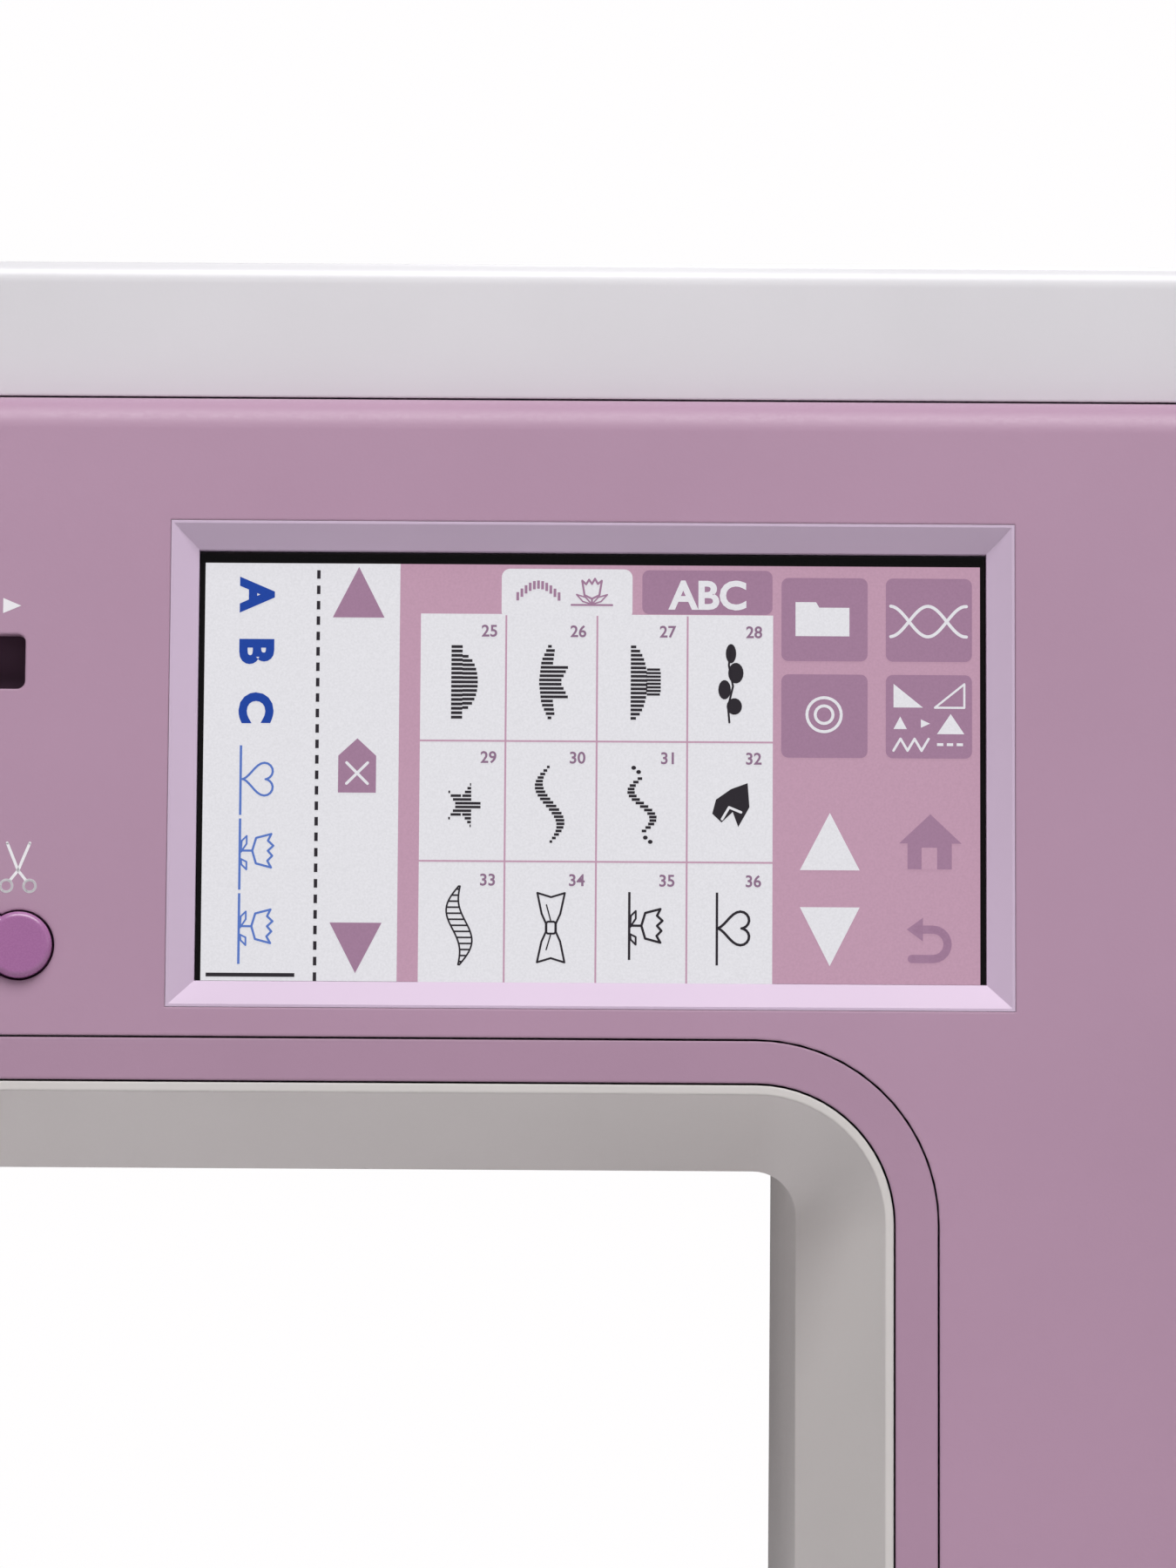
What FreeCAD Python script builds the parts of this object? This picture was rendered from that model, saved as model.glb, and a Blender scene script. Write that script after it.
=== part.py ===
"""Computerised household sewing machine with a touch screen.

Frame: +X to the right of the operator, -Y towards the operator, +Z up, millimetres.
The origin is the middle of the footprint, on the table that the machine stands on.
"""
import FreeCAD, Part
import math
import os

V = FreeCAD.Vector
X_AXIS = V(1, 0, 0)
Y_AXIS = V(0, 1, 0)
Z_AXIS = V(0, 0, 1)

# ---------------------------------------------------------------- overall sizes
machine_width = 470.0
machine_depth = 196.0
foot_height = 6.0
bed_top = 88.0
casing_top = 306.0
lid_height = 20.0
wall = 2.5
parting = 0.3

casing_left = -machine_width / 2
front_reach = -machine_depth / 2

# ---------------------------------------------------------------- casing
wheel_width = 26.0
wheel_gap = 4.0
casing_right = machine_width / 2 - wheel_width - wheel_gap
casing_rear = 82.0
casing_foot = 24.0
head_bottom = 166.0
head_right = -100.0
pillar_left = 33.0
arm_underside = 195.4
throat_radius = 6.2
top_left_radius = 30.0
top_right_radius = 22.0
head_radius = 12.0
front_fillet = 5.0
rear_fillet = 8.0
panel_tilt = 7.0
panel_edge_y = -66.0
face_split = -198.0
end_split = 186.0
seam_y = 10.0

# The grey liner flares the throat open towards the operator.
flare_rise = 12.0
flare_depth = 20.0
liner_lip = 1.2
trim_width = 5.9
panel_edge = arm_underside + flare_rise

# ---------------------------------------------------------------- touch screen
screen_x = 3.3
screen_up = 46.7
bezel_length = 119.4
bezel_height = 68.8
bezel_rim = 0.4
bevel_width = 3.5
bevel_depth = 2.3
bezel_depth = 9.0
glass_depth = 3.6
glass_thickness = 1.0
lcd_thickness = 4.0
fit_gap = 0.15
bezel_gap = 0.05

# ---------------------------------------------------------------- front controls
key_radius = 4.7
key_lobe_offset = 2.5
key_row_up = 20.5
key_pitch = 21.0
key_count = 3
key_centre_x = -80.1
key_proud = 1.4
key_stem = 5.0
key_travel = 1.0
key_clearance = 0.35
collar_width = 1.2
collar_thickness = 1.2
start_key_radius = 7.0
start_key_x = -148.0
slot_right_x = -77.3
slot_length = 41.7
slot_height = 7.9
slot_radius = 1.2
slot_up = 61.0
slider_length = 13.0
slider_gap = 0.5

# ---------------------------------------------------------------- bed and table
free_arm_left = -224.0
free_arm_front = -42.0
free_arm_rear = 46.0
free_arm_bottom = 36.0
table_gap = 1.0
table_wall = 2.5
table_clearance = 0.6
table_foot = 8.0
base_tongue_inset = 6.0
foot_radius = 9.0

# ---------------------------------------------------------------- stitch forming parts
needle_x = -180.0
needle_y = 0.0
needle_tip = 108.0
needle_radius = 0.45
needle_length = 38.0
needle_bar_radius = 3.5
needle_bar_top = 284.0
presser_y = 16.0
presser_bar_radius = 4.0
foot_lift = 8.0
plate_thickness = 2.0
hook_offset = 19.0
hook_radius = 17.5
hook_bottom = 63.0
hook_height = 17.0
bobbin_radius = 10.3
bobbin_height = 11.0

# ---------------------------------------------------------------- shafts and drive
shaft_radius = 4.0
upper_shaft_z = 262.0
lower_shaft_z = 52.0
gear_centres = 15.0
hook_ratio = 2.0
belt_x = 150.0
belt_width = 10.0
timing_pulley_radius = 20.0
drive_pulley_radius = 26.0
motor_pulley_radius = 8.0
motor_z = 150.0
belt_thickness = 2.0
belt_gap = 0.3
running_gap = 0.05
shaft_y = needle_y - hook_offset + gear_centres

# ---------------------------------------------------------------- top, handle and wheel
tray_left = -120.0
tray_right = 135.0
tray_front = -34.0
tray_rear = 46.0
tray_floor = 282.0
lid_hinge_y = 64.0
spool_pin_radius = 3.0
spool_pin_z = 303.0
spool_pin_y = 8.0
winder_x = 164.0
winder_y = -14.0
winder_plate_radius = 13.0
handle_span = 140.0
handle_drop = 76.0
handle_bar = 12.0
handle_pivot_z = 292.0
handle_pin_radius = 3.0
handwheel_radius = 34.0


# ---------------------------------------------------------------- helpers
def block(x0, x1, y0, y1, z0, z1):
    """Box between two opposite corners, given as pairs along X, Y and Z."""
    return Part.makeBox(x1 - x0, y1 - y0, z1 - z0, V(x0, y0, z0))


def rod(radius, start, length, axis=Z_AXIS):
    """Round bar that starts at a point and runs along an axis."""
    return Part.makeCylinder(radius, length, V(*start), axis)


def ring(outer, inner, start, length, axis=Z_AXIS):
    """Round tube."""
    return rod(outer, start, length, axis).cut(rod(inner, start, length, axis))


def fuse(shapes):
    """One clean solid out of several that touch or overlap."""
    whole = shapes[0].fuse(shapes[1:]) if len(shapes) > 1 else shapes[0]
    return whole.removeSplitter()


def rounded_loop(corners):
    """Closed wire in the XZ plane through (x, z, radius) corners."""
    points = [V(x, 0, z) for x, z, radius in corners]
    count = len(points)
    legs = []
    for i in range(count):
        before = (points[i - 1] - points[i]).normalize()
        after = (points[(i + 1) % count] - points[i]).normalize()
        radius = corners[i][2]
        half = before.getAngle(after) / 2
        reach = radius / math.tan(half)
        middle = (before + after).normalize()
        belly = points[i] + middle * (radius / math.sin(half) - radius)
        legs.append((points[i] + before * reach, belly, points[i] + after * reach))
    edges = []
    for i in range(count):
        start, belly, end = legs[i]
        if corners[i][2] > 0:
            edges.append(Part.Arc(start, belly, end).toShape())
        edges.append(Part.LineSegment(end, legs[(i + 1) % count][0]).toShape())
    return Part.Wire(edges)


def prism_y(corners, y0, y1):
    """Solid with a rounded XZ outline that runs from y0 to y1."""
    face = Part.Face(rounded_loop(corners))
    face.translate(V(0, y0, 0))
    return face.extrude(V(0, y1 - y0, 0))


def rounded_block(x0, x1, y0, y1, z0, z1, radius):
    """Box with its four upright edges rounded."""
    solid = block(x0, x1, y0, y1, z0, z1)
    uprights = [e for e in solid.Edges if e.BoundBox.ZLength > (z1 - z0) / 2]
    return solid.makeFillet(radius, uprights)


def on_panel(shape, x, up):
    """Move a shape drawn in local axes (X right, Y up the panel, Z outwards) on to the panel."""
    tilt = math.radians(panel_tilt)
    origin = V(x, panel_edge_y + up * math.sin(tilt), panel_edge + up * math.cos(tilt))
    turned = shape.copy()
    turned.Placement = FreeCAD.Placement(origin, FreeCAD.Rotation(X_AXIS, 90 - panel_tilt))
    return turned


def save(name, shape):
    """Write one node, after a check that it is made of valid closed solids."""
    if not shape.isValid() or not shape.Solids:
        raise ValueError(name + " is not a valid solid")
    if len(shape.Solids) == 1:
        shape = shape.Solids[0]
    shape.exportStep("parts/" + name + ".step")


# ---------------------------------------------------------------- casing and its covers
def casing_outline(inset):
    """Front view of the head, arm and pillar, moved inwards by inset."""
    grown = throat_radius + inset
    return [
        (casing_left + inset, head_bottom + inset, head_radius - inset),
        (head_right - inset, head_bottom + inset, 0),
        (head_right - inset, arm_underside + inset, grown),
        (pillar_left + inset, arm_underside + inset, grown),
        (pillar_left + inset, casing_foot - inset, 0),
        (casing_right - inset, casing_foot - inset, 0),
        (casing_right - inset, casing_top - inset, top_right_radius - inset),
        (casing_left + inset, casing_top - inset, top_left_radius - inset),
    ]


def front_y(z, inset=0.0):
    """Place of the sloping front at a height."""
    tilt = math.radians(panel_tilt)
    return panel_edge_y + (z - panel_edge) * math.tan(tilt) + inset / math.cos(tilt)


def side_profile(inset):
    """Slab between the sloping front and the upright rear, as wide as the machine."""
    low, high = 0.0, casing_top + 50.0
    rear = casing_rear - inset
    corners = [V(0, front_y(low, inset), low), V(0, rear, low), V(0, rear, high),
               V(0, front_y(high, inset), high)]
    wire = Part.makePolygon(corners + corners[:1])
    slab = Part.Face(wire).extrude(V(machine_width * 1.2, 0, 0))
    slab.translate(V(-machine_width * 0.6, 0, 0))
    return slab


def edge_groups(solid, inset):
    """Front throat edges, other front edges and rear edges of the casing block."""
    throat, front, rear = [], [], []
    reach = flare_rise + inset + 1.0
    for edge in solid.Edges:
        middle = edge.valueAt((edge.FirstParameter + edge.LastParameter) / 2)
        points = [vertex.Point for vertex in edge.Vertexes] + [middle]
        if abs(middle.z - casing_foot + inset) < 0.01:
            continue
        in_throat = head_right - reach < middle.x < pillar_left + reach and middle.z < arm_underside + reach
        if all(abs(p.y - front_y(p.z, inset)) < 0.01 for p in points):
            (throat if in_throat else front).append(edge)
        elif all(abs(p.y - casing_rear + inset) < 0.01 for p in points) and not in_throat:
            rear.append(edge)
    return throat, front, rear


def casing_block(inset):
    """Solid outline of the casing, moved inwards by inset, with the flared throat."""
    outline = prism_y(casing_outline(inset), -machine_depth, machine_depth)
    raw = outline.common(side_profile(inset)).Solids[0]
    flared = raw.makeChamfer(flare_rise, flare_depth, edge_groups(raw, inset)[0])
    rounded = flared.makeFillet(rear_fillet - inset, edge_groups(flared, inset)[2])
    return rounded.makeFillet(front_fillet - inset, edge_groups(rounded, inset)[1]).Solids[0]


def throat_prism(growth):
    """Throat opening as seen from the front, grown outwards, above the bed."""
    radius = throat_radius + flare_rise + growth
    left = head_right - flare_rise - growth
    right = pillar_left + flare_rise + growth
    top = panel_edge + growth
    corners = [(left, bed_top, 0), (right, bed_top, 0), (right, top, radius), (left, top, radius)]
    return prism_y(corners, -machine_depth, machine_depth)


screw_head_radius = 3.4
screw_radius = 1.5
screw_length = 14.0
cover_screw_places = [(-192.0, 184.0), (-150.0, 292.0), (142.0, 292.0), (176.0, 60.0), (60.0, 110.0)]
takeup_x = needle_x + 14.0
takeup_slot_width = 6.0
takeup_slot_low = 226.0
takeup_slot_high = 290.0
lid_left = casing_left + top_left_radius + 5.0
lid_right = winder_x - winder_plate_radius - 3.0
lid_front = -46.0
lid_rear = lid_hinge_y + 2.0
lid_pin_z = casing_top + 5.0
lid_pin_radius = 1.5
lid_lug_radius = 3.0
lid_lug_width = 8.0
lid_lug_places = (-130.0, 110.0)
handle_pivot_y = machine_depth / 2 - handle_bar / 2
bracket_width = 7.0


def bezel_opening():
    """Hole in the panel that the screen bezel fills."""
    length = bezel_length + 2 * (bezel_rim + bezel_gap)
    height = bezel_height + 2 * (bezel_rim + bezel_gap)
    return on_panel(block(-length / 2, length / 2, -height / 2, height / 2, -wall * 4, wall * 4),
                    screen_x, screen_up)


def key_shape(height, growth, bottom):
    """Key seen from the front: two round lobes joined by a waist."""
    lobes = [rod(key_radius + growth, (side * key_lobe_offset, 0, bottom), height) for side in (-1, 1)]
    return fuse(lobes)


def key_places():
    """Middle of each small key, from right to left."""
    return [key_centre_x - i * key_pitch for i in range(key_count)]


def slot_shape(length, height, radius, low, high):
    """Rounded slot in local panel axes, with its right end at x = 0."""
    return rounded_block(-length, 0, -height / 2, height / 2, low, high, radius)


def front_openings():
    """Everything that is cut through the front of the control panel."""
    tools = [bezel_opening()]
    for x in key_places():
        tools.append(on_panel(key_shape(wall * 4, key_clearance, -wall * 2), x, key_row_up))
    start_hole = rod(start_key_radius + key_clearance, (0, 0, -wall * 2), wall * 4)
    tools.append(on_panel(start_hole, start_key_x, key_row_up))
    slot = slot_shape(slot_length, slot_height, slot_radius, -wall * 2, wall * 2)
    tools.append(on_panel(slot, slot_right_x, slot_up))
    half = takeup_slot_width / 2
    tools.append(block(takeup_x - half, takeup_x + half, front_reach, front_y(takeup_slot_high) + 3 * wall,
                       takeup_slot_low, takeup_slot_high))
    return tools


def tray_block(growth, top):
    """Outer shape of the spool tray."""
    return rounded_block(tray_left - growth, tray_right + growth, tray_front - growth, tray_rear + growth,
                         tray_floor - 2.0 - growth, top, 6.0)


def socket_places():
    """Centre (y, z) and size (along Y, along Z) of each opening low on the right end."""
    return {
        "power_switch": (-24.0, 62.0, 14.0, 22.0),
        "power_inlet": (6.0, 62.0, 24.0, 20.0),
        "foot_control_jack": (34.0, 62.0, 12.0, 12.0),
        "usb_port": (54.0, 62.0, 15.0, 8.0),
    }


def right_openings():
    """Shaft hole and socket holes in the right end."""
    through = casing_right - end_split + 10
    tools = [rod(shaft_radius + 2.0, (end_split - 5, shaft_y, upper_shaft_z), through, X_AXIS)]
    for y, z, wide, tall in socket_places().values():
        wide, tall = wide / 2 + fit_gap, tall / 2 + fit_gap
        tools.append(block(casing_right - 2 * wall, casing_right + wall, y - wide, y + wide,
                           z - tall, z + tall))
    return tools


def rear_fittings():
    """Hinge lugs of the lid and pivot brackets of the handle, on the rear cover."""
    solids = []
    for x in lid_lug_places:
        start = (x - lid_lug_width / 2, lid_hinge_y, lid_pin_z)
        lug = rod(lid_lug_radius, start, lid_lug_width, X_AXIS).fuse(
            block(start[0], start[0] + lid_lug_width, lid_hinge_y - lid_lug_radius,
                  lid_hinge_y + lid_lug_radius, casing_top - wall, lid_pin_z))
        solids.append(lug.cut(rod(lid_pin_radius, start, lid_lug_width, X_AXIS)))
    for side in (-1, 1):
        inner = handle_span / 2 - handle_bar / 2 - parting - bracket_width
        x = inner if side > 0 else -inner - bracket_width
        start = (x, handle_pivot_y, handle_pivot_z)
        bracket = rod(handle_bar / 2 - 0.5, start, bracket_width, X_AXIS).fuse(
            block(x, x + bracket_width, casing_rear - wall, handle_pivot_y,
                  handle_pivot_z - handle_bar / 2 + 0.5, handle_pivot_z + handle_bar / 2 - 0.5))
        solids.append(bracket.cut(rod(handle_pin_radius, start, bracket_width, X_AXIS)))
    return solids


def make_covers():
    """Split the casing shell into the covers that come apart on a bench."""
    outer = casing_block(0)
    shell = outer.cut(casing_block(wall))
    everything = machine_width
    bed_mouth = block(pillar_left - wall, pillar_left + 2 * wall, free_arm_front - 1, free_arm_rear + 1,
                      casing_foot, bed_top + parting)
    head_mouth = block(needle_x - 22, needle_x + 42, needle_y - 22, presser_y + 46, head_bottom - wall,
                       head_bottom + 2 * wall)
    tray_hole = tray_block(fit_gap, casing_top + wall)
    shell = shell.cut([bed_mouth, head_mouth, tray_hole] + front_openings() + right_openings())
    half_gap = parting / 2
    left_part = block(-everything, face_split - half_gap, -everything, everything, 0, everything)
    right_part = block(end_split + half_gap, everything, -everything, everything, 0, everything)
    middle = block(face_split + half_gap, end_split - half_gap, -everything, everything, 0, everything)
    ahead = block(-everything, everything, -everything, seam_y - half_gap, 0, everything)
    behind = block(-everything, everything, seam_y + half_gap, everything, 0, everything)
    lip = throat_prism(liner_lip)
    save("throat_liner", shell.common(lip))
    front = shell.common(middle).common(ahead)
    strip = front.common(throat_prism(liner_lip + parting + trim_width))
    strip = strip.cut(throat_prism(liner_lip + parting))
    save("throat_trim", max(strip.Solids, key=lambda s: s.Volume))
    holes, sinks = [], []
    for x, z in cover_screw_places:
        holes.append(rod(screw_radius + fit_gap, (x, casing_rear - 2 * wall, z), 3 * wall, Y_AXIS))
        sinks.append(rod(screw_head_radius + fit_gap, (x, casing_rear - wall / 2, z), wall, Y_AXIS))
    front = front.cut(throat_prism(liner_lip + trim_width + 2 * parting))
    save("front_cover", max(front.Solids, key=lambda s: s.Volume))
    rear = shell.common(middle).common(behind).cut(throat_prism(liner_lip + parting))
    rear = max(rear.Solids, key=lambda s: s.Volume)
    rear = fuse([rear] + rear_fittings()).cut(holes + sinks)
    save("rear_cover", rear)
    save("face_cover", shell.common(left_part))
    save("right_cover", shell.common(right_part))
    screws = []
    for x, z in cover_screw_places:
        head = rod(screw_head_radius, (x, casing_rear - wall / 2 + 0.05, z), wall / 2 - 0.1, Y_AXIS)
        shank = rod(screw_radius, (x, casing_rear - screw_length, z), screw_length - wall / 2 + 0.1, Y_AXIS)
        socket = block(x - 2.6, x + 2.6, casing_rear - 0.8, casing_rear, z - 0.5, z + 0.5)
        screws.append(head.fuse(shank).cut(socket))
    save("machine_screws", Part.makeCompound([s.Solids[0] for s in screws] + plate_screws()))


# ---------------------------------------------------------------- screen and front controls
board_thickness = 1.6
board_back = 8.0
switch_gap = 0.1
flange_width = 2.5
flange_thickness = 1.4
slider_rest_left = slot_right_x - slot_length + slider_gap


def plate_on_panel(length, height, low, high, x, up):
    """Rectangular plate parallel to the panel between two local depths."""
    return on_panel(block(-length / 2, length / 2, -height / 2, height / 2, low, high), x, up)


def frustum(length, height, grow, low, high):
    """Four-sided tapered block whose top is wider than its bottom by grow on each side."""
    loops = []
    for extra, depth in ((0.0, low), (grow, high)):
        a, b = length / 2 + extra, height / 2 + extra
        loops.append(Part.makePolygon([V(-a, -b, depth), V(a, -b, depth), V(a, b, depth),
                                       V(-a, b, depth), V(-a, -b, depth)]))
    return Part.makeLoft(loops, True, True)


def make_screen():
    """Bezel with mitred bevels, touch glass and liquid crystal panel."""
    length, height = bezel_length / 2 + bezel_rim, bezel_height / 2 + bezel_rim
    body = block(-length, length, -height, height, -bezel_depth, 0)
    flange_top = -wall - parting
    flange = block(-length - flange_width, length + flange_width, -height - flange_width,
                   height + flange_width, flange_top - flange_thickness, flange_top)
    inner_length = bezel_length - 2 * bevel_width
    inner_height = bezel_height - 2 * bevel_width
    bevel = frustum(inner_length, inner_height, bevel_width, -bevel_depth, 0)
    well = block(-inner_length / 2, inner_length / 2, -inner_height / 2, inner_height / 2, -bezel_depth, 0)
    save("screen_bezel", on_panel(fuse([body, flange]).cut([bevel, well]), screen_x, screen_up))
    length = inner_length - 2 * fit_gap
    height = inner_height - 2 * fit_gap
    glass_bottom = -glass_depth - glass_thickness
    lcd_bottom = glass_bottom - lcd_thickness
    save("touch_glass", plate_on_panel(length, height, glass_bottom, -glass_depth, screen_x, screen_up))
    save("lcd_panel", plate_on_panel(length, height, lcd_bottom, glass_bottom, screen_x, screen_up))


def make_keys():
    """Pressed keys, each held from behind by a collar."""
    collar_top = -wall - 0.2
    key_bottom = -key_stem
    names = ["thread_cutter_key", "needle_position_key", "reverse_key"]
    for name, x in zip(names, key_places()):
        cap = key_shape(key_stem + key_proud, 0, key_bottom)
        rim = [e for e in cap.Edges if abs(e.BoundBox.ZMin - key_proud) < 0.01 and e.BoundBox.ZLength < 0.01]
        cap = cap.makeFillet(0.9, rim)
        collar = key_shape(collar_thickness, collar_width, collar_top - collar_thickness)
        save(name, on_panel(fuse([cap, collar]), x, key_row_up))
    cap = rod(start_key_radius, (0, 0, key_bottom), key_stem + key_proud)
    rim = [e for e in cap.Edges if abs(e.BoundBox.ZMin - key_proud) < 0.01]
    cap = cap.makeFillet(0.9, rim[:1])
    collar = rod(start_key_radius + collar_width, (0, 0, collar_top - collar_thickness), collar_thickness)
    save("start_stop_key", on_panel(fuse([cap, collar]), start_key_x, key_row_up))


def make_boards():
    """Main board behind the screen and the board that carries the key switches."""
    back = -bezel_depth - 2.0
    main = block(-62, 62, -34, 34, back - board_thickness, back)
    pillars = [rod(2.0, (x, y, back), 2.0) for x in (-58, 58) for y in (-32, 32)]
    chips = [block(x, x + 14, y, y + 14, back - 5, back) for x, y in ((-30, -12), (8, -4), (28, -22))]
    main = on_panel(fuse([main] + pillars + chips), screen_x, screen_up)
    left, right = start_key_x - start_key_radius, slot_right_x + 6
    board = block(left, right, key_row_up - 9, slot_up + 7, -board_back, -board_back + board_thickness)
    switches = []
    for x in key_places() + [start_key_x]:
        low = -board_back + board_thickness
        high = -key_stem - key_travel - switch_gap
        switches.append(block(x - 3, x + 3, key_row_up - 3, key_row_up + 3, low, high))
    panel_board = on_panel(fuse([board] + switches), 0, 0)
    save("circuit_boards", Part.makeCompound([main.Solids[0], panel_board.Solids[0]]))


def make_speed_slider():
    """Ribbed slide in its slot, with the wide foot that keeps it in behind the panel."""
    height = slot_height - 2 * slider_gap
    knob = rounded_block(0, slider_length, -height / 2, height / 2, -wall - 1.0, 1.2, slot_radius)
    ribs = [block(x, x + 0.8, -height / 2 + 1, height / 2 - 1, 1.2, 1.8) for x in (3.0, 6.1, 9.2)]
    foot = block(-2, slider_length + 2, -height / 2 - 1.6, height / 2 + 1.6, -wall - 1.8, -wall - 0.3)
    save("speed_slider", on_panel(fuse([knob, foot] + ribs), slider_rest_left, slot_up))


# ---------------------------------------------------------------- base, free arm and extension table
arm_feet = [(-184.0, -14.0), (-184.0, 34.0)]
pillar_feet = [(52.0, -72.0), (188.0, -72.0), (52.0, 66.0), (188.0, 66.0)]
feet_places = arm_feet + pillar_feet
base_left = -200.0
arm_wall = 2.5
plate_left = -216.0
plate_right = -132.0
plate_front = -38.0
plate_rear = 40.0
hatch_left = -198.0
hatch_right = -162.0
hatch_front = -36.0
hatch_rear = -5.0
dog_rows = (-8.0, 6.0)
dog_row_width = 2.4
dog_length = 17.0
dog_clearance = 3.2
box_lid_thickness = 2.5
box_lid_hinge_z = 20.0
box_lid_pin_radius = 1.2


def make_base():
    """Bottom pan with rubber feet and the steel plate that closes it."""
    rear = casing_rear - 2.0
    front = front_y(casing_foot) + 2.0
    tongue = (base_left, pillar_left + 20, free_arm_front + base_tongue_inset,
              free_arm_rear - base_tongue_inset)
    pan = rounded_block(pillar_left + 2, casing_right - 2, front, rear, foot_height,
                        casing_foot - parting, 6.0)
    hollow = rounded_block(pillar_left + 2 + wall, casing_right - 2 - wall, front + wall, rear - wall,
                           foot_height + wall, casing_foot, 4.0)
    arm = rounded_block(*tongue, foot_height, casing_foot - parting, 10.0)
    arm_hollow = rounded_block(tongue[0] + wall, tongue[1], tongue[2] + wall, tongue[3] - wall,
                               foot_height + wall, casing_foot - parting - wall, 7.0)
    shape = fuse([pan, arm]).cut([hollow, arm_hollow])
    pegs = [rod(3.0, (x, y, foot_height - 0.1), wall) for x, y in feet_places]
    save("base_cover", shape.cut(pegs))
    feet = []
    for x, y in feet_places:
        pad = rod(foot_radius, (x, y, 0), foot_height - 0.05)
        feet.append(pad.makeFillet(1.5, [e for e in pad.Edges if e.BoundBox.ZMax < 0.01]))
    save("rubber_feet", Part.makeCompound(feet))


def make_free_arm():
    """Shell of the free arm, the needle plate with its openings and the bobbin cover."""
    right = pillar_left - parting
    shell = rounded_block(free_arm_left, right + 30, free_arm_front, free_arm_rear, free_arm_bottom,
                          bed_top, 14.0)
    inside = rounded_block(free_arm_left + arm_wall, right + 40, free_arm_front + arm_wall,
                           free_arm_rear - arm_wall, free_arm_bottom + arm_wall, bed_top - arm_wall, 11.5)
    trim = block(right, right + 60, front_reach, casing_rear, 0, bed_top + 10)
    recess = rounded_block(plate_left - fit_gap, plate_right + fit_gap, plate_front - fit_gap,
                           plate_rear + fit_gap, bed_top - plate_thickness, bed_top + 1, 3.0)
    ledge = rounded_block(plate_left + 3, plate_right - 3, plate_front + 0.5, plate_rear - 3,
                          bed_top - 4 * arm_wall, bed_top, 2.0)
    slot = block(-60, -38, free_arm_rear - 2 * arm_wall, free_arm_rear + 1, 58, 64)
    save("free_arm_shell", shell.cut([inside, trim, recess, ledge, slot]))
    plate = rounded_block(plate_left, plate_right, plate_front, plate_rear, bed_top - plate_thickness,
                          bed_top, 2.8)
    tools = [rounded_block(hatch_left, hatch_right, hatch_front, hatch_rear, bed_top - 5, bed_top + 1, 4.0)]
    tools.append(rounded_block(needle_x - 4.3, needle_x + 4.3, needle_y - 2.2, needle_y + 2.2,
                               bed_top - 5, bed_top + 1, 0.6))
    for row in dog_rows:
        tools.append(block(needle_x + row - 0.6, needle_x + row + dog_row_width + 0.6,
                           needle_y + 2 - dog_clearance, needle_y + 2 + dog_length + dog_clearance,
                           bed_top - 5, bed_top + 1))
    sinks = []
    for x, y in ((plate_left + 7, plate_rear - 7), (plate_right - 7, plate_rear - 7)):
        tools.append(rod(screw_radius + fit_gap, (x, y, bed_top - 5), 10))
        sinks.append(rod(3.0 + fit_gap, (x, y, bed_top - 1.2), 2))
    save("needle_plate", plate.cut(tools + sinks))
    hatch = rounded_block(hatch_left + fit_gap, hatch_right - fit_gap, hatch_front + fit_gap,
                          hatch_rear - fit_gap, bed_top - plate_thickness, bed_top - 0.05, 3.8)
    save("bobbin_cover", hatch)


def plate_screws():
    """Two slotted screws that hold the needle plate."""
    screws = []
    for x, y in ((plate_left + 7, plate_rear - 7), (plate_right - 7, plate_rear - 7)):
        screw = rod(3.0, (x, y, bed_top - 1.1), 1.1).fuse(rod(screw_radius, (x, y, bed_top - 9), 8))
        screws.append(screw.cut(block(x - 2.2, x + 2.2, y - 0.4, y + 0.4, bed_top - 0.6, bed_top + 1)))
    return [s.Solids[0] for s in screws]


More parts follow.
